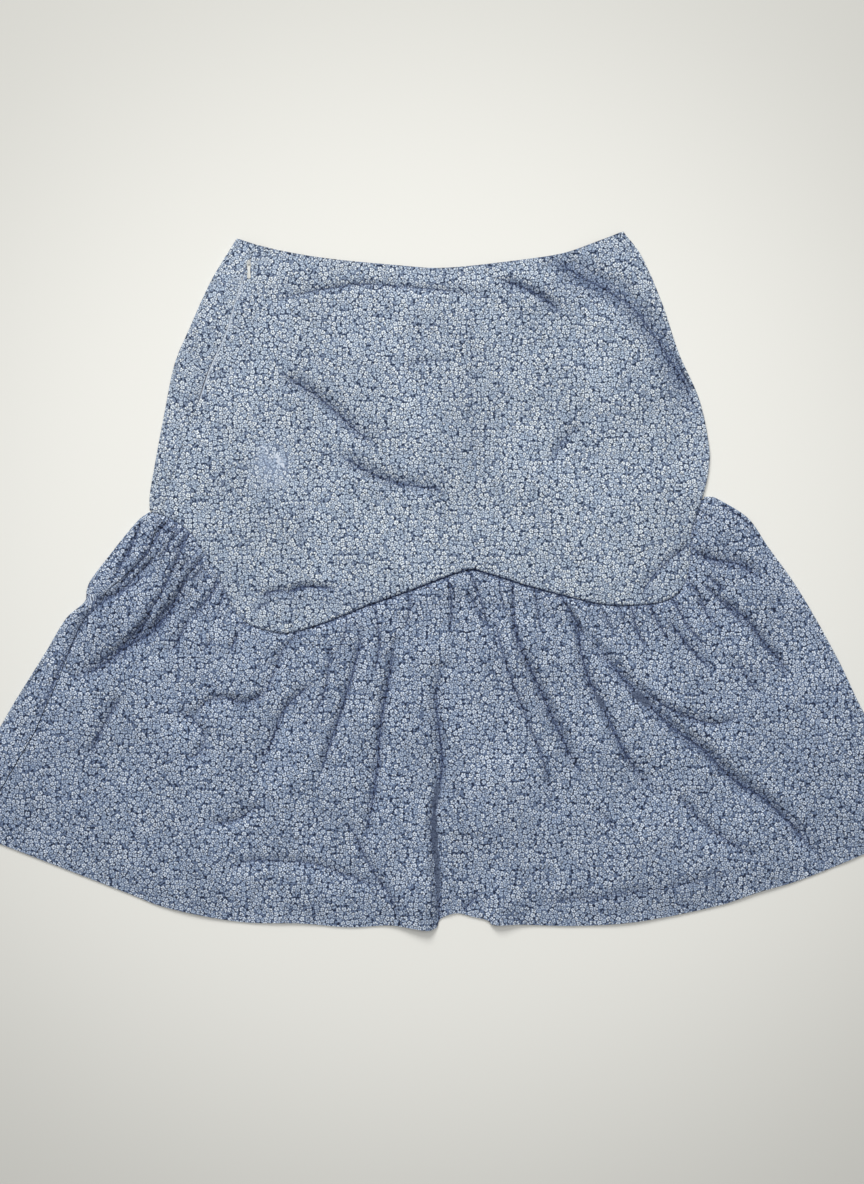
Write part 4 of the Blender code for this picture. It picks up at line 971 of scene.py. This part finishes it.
flounce = {
    "puff": [(0, 0.6), (25, 2.0), (90, 3.8), (200, 4.2), (300, 3.0), (340, 1.5), (362, 0.1)],
    "hemZ": 1.3,
    "hemLow": 40.0,
    # x along the seam, how deep it is sunk under the yoke's edge
    "seamSink": [(-281, 0.2), (-190, 0.3), (-150, 0.8), (-60, 1.25), (38, 1.5), (110, 1.3), (215, 1.0),
                 (246, 0.9), (262, 0.7), (272, 0.4)],
    # share across where each run of gathers ends, count, height, reach down
    "gathers": [(0.10, 7, 1.7, 58), (0.24, 6, 1.5, 55), (0.42, 6, 1.1, 42), (0.56, 5, 1.6, 76),
                (0.72, 6, 1.7, 78), (0.86, 5, 1.5, 60), (1.0, 5, 1.6, 58)],
    # x at the hem, half width left and right of it, height, reach up
    "hemLobes": [(-6, 24, 8, 5.6, 95), (66, 7, 20, 4.2, 80), (-240, 26, 26, 0.8, 60), (-150, 24, 24, 0.5, 50),
                 (205, 30, 30, 0.8, 70), (330, 28, 28, 0.9, 70)],
    "backGather": 0.9,
    "backGatherReach": 60.0,
    "backGathers": 30,
    "backHemLift": 5.0,
    "seamUnder": 2.6,
    "seamSharp": 1.0,
    "gatherSharp": 0.8,
    "topWidth": 560.0,
    "hemTurnUp": 7.0,
    # painted shade, and painted light where the amount is below zero: x, y, half width, half height, how much darker
    "shades": [(-300, -25, 60, 55, 0.4), (-400, -190, 70, 75, 0.3), (385, -175, 60, 85, 0.25),
               (45, -45, 85, 32, -0.3)],
    "uneven": [(1.3, 46, 6), (0.65, 18, 7), (0.12, 8, 9)],
    "ripple": 0.45,
    "sideIn": 1.9,
    "frontRows": 155,
    "frontColumns": 476,
    "backRows": 111,
    "backColumns": 180,
    "rowsClose": (0, 0.0045, 0.009, 0.0135, 0.019),
    "backRowsClose": (0, 0.004, 0.01),
}


def seamTaper(across):
    # the flounce reaches under the yoke's edge, but for the ends of the seam
    return smoothStep(np.minimum(across, 1 - across) / 0.01)


def addGathers(relief, shares, depth):
    # round tucks with sharp valleys between them, unevenly tall and long
    total = np.zeros(np.broadcast(shares, depth).shape)
    everywhere = np.ones(total.shape, dtype=bool)
    rng = np.random.RandomState(11)
    begin = 0.0
    for end, count, tall, reach in flounce["gathers"]:
        for step in range(count):
            low = begin + (end - begin) * step / count
            high = begin + (end - begin) * (step + 1) / count
            u = (shares - low) / (high - low)
            inside = (u >= 0) & (u < 1)
            strength = tall * (0.45 + 0.75 * rng.rand())
            down = reach * (0.55 + 0.75 * rng.rand())
            fade = (0.5 + 0.5 * smoothStep(depth / 10)) * (1 - smoothStep(depth / down))
            skew = 0.75 + 0.5 * rng.rand()
            hump = np.abs(np.sin(math.pi * np.clip(u, 0, 1)**skew))**0.75
            total = np.where(inside, strength * hump * fade, total)
            # each valley between gathers gets a crease line: bump groove and painted shade
            line = np.broadcast_to((shares - low) * flounce["topWidth"], total.shape).ravel()
            sharp = np.broadcast_to(strength * flounce["gatherSharp"] * fade * rng.rand(), total.shape).ravel()
            relief.drawLine(everywhere, line, sharp)
        begin = end
    relief.change += total


def flounceHeight(tube, across, down):
    plan = tube.plan(across, down)
    x = plan[..., 0]
    y = plan[..., 1]
    depth = down * skirt["flounceDepth"]
    rise = tableAt(flounce["puff"], depth) * riseLeft(flounceCreases["wide"], x, y)
    for centre, leftWidth, rightWidth, height, reach in flounce["hemLobes"]:
        upFromHem = (skirt["flounceDepth"] - depth) / reach
        halfWidth = np.where(x < centre, leftWidth, rightWidth)
        rise = rise + height * np.exp(-((x - centre) / halfWidth)**2) * (1 - smoothStep(upFromHem))
    under = flounce["backGather"] * (1 - smoothStep(depth / flounce["backGatherReach"]))
    relief = Relief(x.shape)
    relief.pressIn(x, y, flounceCreases["fine"])
    relief.pressIn(x, y, flounceCreases["tucks"], fromSeam=True)
    addShades(relief, x, y, flounce["shades"])
    start = tube.seamShare(down[:, 0], 1)[:, None]
    shares = (across - start) / (1 - start)
    addGathers(relief, shares, depth)
    ripple = softNoise(shares * 620, depth * 0.22, 13, 8) * (1 - 0.6 * smoothStep(depth / 300))
    uneven = flounce["ripple"] * ripple + unevenness(x, y, flounce["uneven"])
    change = relief.change + uneven * (0.3 + 0.7 * smoothStep(depth / 14))
    sink = tableAt(flounce["seamSink"], x)
    fromSeam = tube.seamLine.beside(x, y, np.broadcast_to(depth < 45, x.shape))
    fromHem = skirt["flounceDepth"] - depth
    low = smoothStep(1 - fromHem / flounce["hemLow"])
    change = change * (1 - 0.6 * low) - (lay["frontZ"] - flounce["hemZ"]) * low
    change = change + 0.22 * (1 - smoothStep((fromHem - flounce["hemTurnUp"] + 1) / 1.6))
    # painted shade under the yoke's edge, and a crease line along the seam
    relief.paintedShade = np.maximum(relief.paintedShade, 1.1 * sink**1.4 * np.exp(-(np.maximum(fromSeam, 0) / 3.8)**2))
    everywhere = np.ones(x.shape, dtype=bool)
    relief.drawLine(everywhere, (fromSeam - 0.6).ravel(), (flounce["seamSharp"] * sink).ravel())
    height = tube.atFolds(across, down, lay["frontZ"] + under + rise) + change
    out = smoothStep((fromSeam - 0.2) / (1.5 + 5.0 * sink)) * seamTaper(across) + 1 - seamTaper(across)
    height = lay["seamUnderZ"] * (1 - out) + np.maximum(height, lay["lowestFront"]) * out
    return height, relief


def buildFlounce():
    _, line = scallopLine()
    top = Line(line, smooth=False)
    shares = top.lengths / top.length
    seamLine = Line(top.at(np.linspace(0, 1, 800)), smooth=False)
    top = top.moved((skirt["seamGap"] / 2 - flounce["seamUnder"] * seamTaper(shares))[:, None])
    sides = []
    for name, inwards in (("flounceLeft", -flounce["sideIn"]), ("flounceRight", flounce["sideIn"])):
        line = Line(skirt[name])
        sides.append(line.moved((inwards * smoothStep(line.lengths / line.length / 0.06))[:, None]))
    tube = Tube(top, Line(skirt["hem"]), *sides, skirt["flounceSideSeam"])
    tube.seamLine = seamLine
    down = spaced(flounce["frontRows"], flounce["rowsClose"])[:, None]
    front = frontPanel("flounceFront", "flounce_front", tube, flounceHeight, down,
                       np.linspace(0, 1, flounce["frontColumns"]), rightTurn(tube, down[:, 0], False),
                       flounceCotton)

    down = spaced(flounce["backRows"], flounce["backRowsClose"])[:, None]
    depth = down * skirt["flounceDepth"]
    across = np.linspace(1, 0, flounce["backColumns"] + 2)[None, 1:-1]
    plan = tube.plan(across, down)
    fromSides = smoothStep(np.minimum(across, 1 - across) / 0.08)
    plan[..., 1] += flounce["backHemLift"] * fromSides * (1 - smoothStep((1 - down) / 0.2))
    hidden = hiddenCreases(flounceCreases["fine"], plan[..., 0], plan[..., 1])
    gathers = flounce["backGather"] * np.abs(np.sin(math.pi * across * flounce["backGathers"]))**0.75
    gathers = gathers * (1 - smoothStep(depth / flounce["backGatherReach"]))
    height = lay["backZ"] + np.maximum(gathers, np.maximum(-hidden.change, 0)) * fromSides
    out = smoothStep((depth - flounce["seamUnder"] - 0.3) / 3) * seamTaper(across) + 1 - seamTaper(across)
    height = lay["seamBackZ"] * (1 - out) + height * out
    height = underFront(height, flounceHeight(tube, across, down)[0])
    back = backPanel("flounceBack", "flounce_back", tube, flounceHeight, down, (plan, height, hidden),
                     rightTurn(tube, down[:, 0], True), flounceCotton)
    return front, back


yokeTube, yokeFront, yokeBack = buildYoke()
flounceFront, flounceBack = buildFlounce()


# zip: woven tape with a coil of small teeth, cast slider and drop-shaped pull
zipper = {
    "shares": (0.008, 0.6),
    "sections": 130,
    # across from the middle, height
    "profile": [(-4.5, 1.7), (-1.8, 2.2), (-0.2, 2.3), (0.2, 2.3), (1.8, 2.2), (4.5, 1.7)],
    "tapeThick": 0.1,
    "tapeColours": ("#8f8fa1", "#adadbb"),
    "ribMm": 20,
    "toothPitch": 1.4,
    "tooth": (2.2, 0.9, 0.42),
    "toothBevel": 0.12,
    "toothZ": 2.5,
    "toothLean": 0.14,
    "toothShift": 0.15,
    "coilColours": ("#9d9eae", "#bdbec9"),
    # bevel, roughness, how much metal shows on rubbed edges, colours
    "slider": (0.1, 0.38, 0.6, ("#bdbfbd", "#cdcfcc")),
    "pull": (0.16, 0.32, 0.35, ("#d6d7d0", "#e4e5df")),
    "bareMetal": "#8d8f92",
}


def tapeWoven():
    # fine ribs along the tape, so it reads as a narrow woven ribbon
    woven = Finish("woven polyester zip tape", 0.8)
    place = woven.add("UVMap", uv_map="cloth")["UV"]
    ribs = woven.add("TexWave", {"Vector": place, "Scale": 1000 / zipper["ribMm"], "Distortion": 0.4},
                     wave_type="BANDS", bands_direction="X")["Fac"]
    woven.give("Base Color", woven.blend(ribs, *zipper["tapeColours"]))
    woven.bump(ribs, 0.4, 0.1)
    return woven.material


def coilPlastic():
    # slightly shiny nylon with faint unevenness, paler than the tape
    nylon = Finish("nylon coil", 0.42)
    cloudy = nylon.clouds(nylon.add("TexCoord")["Object"], 3.0, 2.0, dimensions="3D")
    nylon.give("Base Color", nylon.blend(cloudy, *zipper["coilColours"]))
    return nylon.material


def lacquer(name, colours, roughness, bare):
    # sprayed lacquer: faint clouding, orange peel, and dull zinc where the edges have rubbed through
    spray = Finish(name, roughness)
    place = spray.add("TexCoord")["Object"]
    tone = spray.blend(spray.clouds(place, 2.5, 3.0, dimensions="3D"), *colours)
    worn = spray.ramp(spray.add("NewGeometry")["Pointiness"], 0.53, 0.6, 0.0, bare, "LINEAR")
    specks = spray.clouds(place, 0.8, 2.0, dimensions="3D")
    rubbed = spray.sums("MULTIPLY", worn, spray.ramp(specks, 0.45, 0.6, kind="LINEAR"))
    spray.give("Base Color", spray.blend(rubbed, tone, zipper["bareMetal"]))
    spray.give("Metallic", rubbed)
    spray.bump(specks, 0.15, 0.05)
    return spray.material


def zipLine(tube):
    downs = np.linspace(*zipper["shares"], zipper["sections"])
    plan = np.array([tube.plan(tube.seamShare(np.array([d]), 0)[0], d) for d in downs])
    return Line(plan, smooth=False)


def buildTape(line):
    count = zipper["sections"]
    middle = line.at(np.linspace(0, 1, count))
    beside = line.rightOf(np.linspace(0, 1, count))
    rows = []
    for lift in (0, -zipper["tapeThick"]):
        for offset, z in zipper["profile"][::1 if lift == 0 else -1]:
            rows.append(np.column_stack([middle + beside * offset, np.full(count, z + lift)]))
    points = np.stack(rows, axis=1)
    around = len(rows)
    index = np.arange(count * around).reshape(count, around)
    after = np.roll(index, -1, axis=1)
    faces = np.stack([c.ravel() for c in (index[:-1], index[1:], after[1:], after[:-1])], axis=1).tolist()
    faces += [index[0].tolist(), index[-1, ::-1].tolist()]
    mesh = bpy.data.meshes.new("zipTape")
    mesh.from_pydata((points.reshape(-1, 3) * mm).tolist(), [], faces)
    along = np.linspace(0, 1, count)[:, None] * line.length * np.ones((1, around))
    offsets = [p[0] for p in zipper["profile"]]
    sideways = np.array(offsets + offsets[::-1])[None, :] * np.ones((count, 1))
    addFlatMap(mesh, np.stack([sideways.ravel(), along.ravel()], axis=1))
    mesh.materials.append(tapeWoven())
    mesh.shade_smooth()
    mesh.set_sharp_from_angle(angle=math.radians(50))
    tape = bpy.data.objects.new("zipTape", mesh)
    scene.collection.objects.link(tape)
    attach(tape, "skirt")
    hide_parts("zip_tape")
    print("zip tape:", len(faces), "faces")
    return tape


def buildTeeth(line):
    # one bevelled tooth, repeated along the line; every second one leans the other way
    bpy.ops.object.select_all(action="DESELECT")
    bpy.ops.mesh.primitive_cube_add(size=1.0)
    tooth = bpy.context.object
    tooth.scale = [side * mm for side in zipper["tooth"]]
    bpy.ops.object.transform_apply(location=True, rotation=True, scale=True)
    rounding = tooth.modifiers.new("rounding", "BEVEL")
    rounding.width = zipper["toothBevel"] * mm
    rounding.segments = 1
    bpy.ops.object.modifier_apply(modifier="rounding")
    corners = np.array([v.co for v in tooth.data.vertices]) / mm
    sides = [list(p.vertices) for p in tooth.data.polygons]
    bpy.data.objects.remove(tooth, do_unlink=True)
    count = int(line.length / zipper["toothPitch"])
    shares = (np.arange(count) + 0.5) / count
    middle = line.at(shares)
    beside = line.rightOf(shares)
    points = []
    faces = []
    for step in range(count):
        hand = 1 if step % 2 else -1
        right = beside[step]
        along = np.array([-right[1], right[0]])
        leaning = right + along * zipper["toothLean"] * hand
        place = (middle[step] + right * zipper["toothShift"] * hand + np.outer(corners[:, 0], leaning)
                 + np.outer(corners[:, 1], along))
        faces += [[corner + len(corners) * step for corner in side] for side in sides]
        points.append(np.column_stack([place, corners[:, 2] + zipper["toothZ"]]))
    mesh = bpy.data.meshes.new("zipTeeth")
    mesh.from_pydata((np.vstack(points) * mm).tolist(), [], faces)
    mesh.materials.append(coilPlastic())
    mesh.shade_flat()
    teeth = bpy.data.objects.new("zipTeeth", mesh)
    scene.collection.objects.link(teeth)
    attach(teeth, "skirt")
    print("zip teeth:", count)
    return teeth


def roundedCopy(node, name, body, finish, look):
    # the solid itself with rounded, lacquered edges
    bevel, roughness, bare, colours = look
    bpy.ops.object.select_all(action="DESELECT")
    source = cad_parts[node]
    piece = bpy.data.objects.new(name, source.data.copy())
    scene.collection.objects.link(piece)
    bpy.context.view_layer.objects.active = piece
    piece.select_set(True)
    bpy.ops.object.mode_set(mode="EDIT")
    bpy.ops.mesh.select_all(action="SELECT")
    bpy.ops.mesh.remove_doubles(threshold=0.01 * mm)
    bpy.ops.mesh.tris_convert_to_quads()
    bpy.ops.object.mode_set(mode="OBJECT")
    rounding = piece.modifiers.new("rounding", "BEVEL")
    rounding.width = bevel * mm
    rounding.segments = 2
    rounding.limit_method = "ANGLE"
    rounding.angle_limit = math.radians(30)
    bpy.ops.object.modifier_apply(modifier="rounding")
    piece.data.materials.clear()
    piece.data.materials.append(lacquer(finish, colours, roughness, bare))
    bpy.ops.object.shade_smooth()
    piece.data.set_sharp_from_angle(angle=math.radians(40))
    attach(piece, body)
    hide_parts(node)
    print(name, "faces:", len(piece.data.polygons))
    return piece


seam = zipLine(yokeTube)
buildTape(seam)
buildTeeth(seam)
slider = roundedCopy("zip_slider", "zipSlider", "skirt", "lacquered die-cast zinc", zipper["slider"])
pull = roundedCopy("zip_pull", "zipPull", "pull_tab", "grey-white lacquered pull", zipper["pull"])
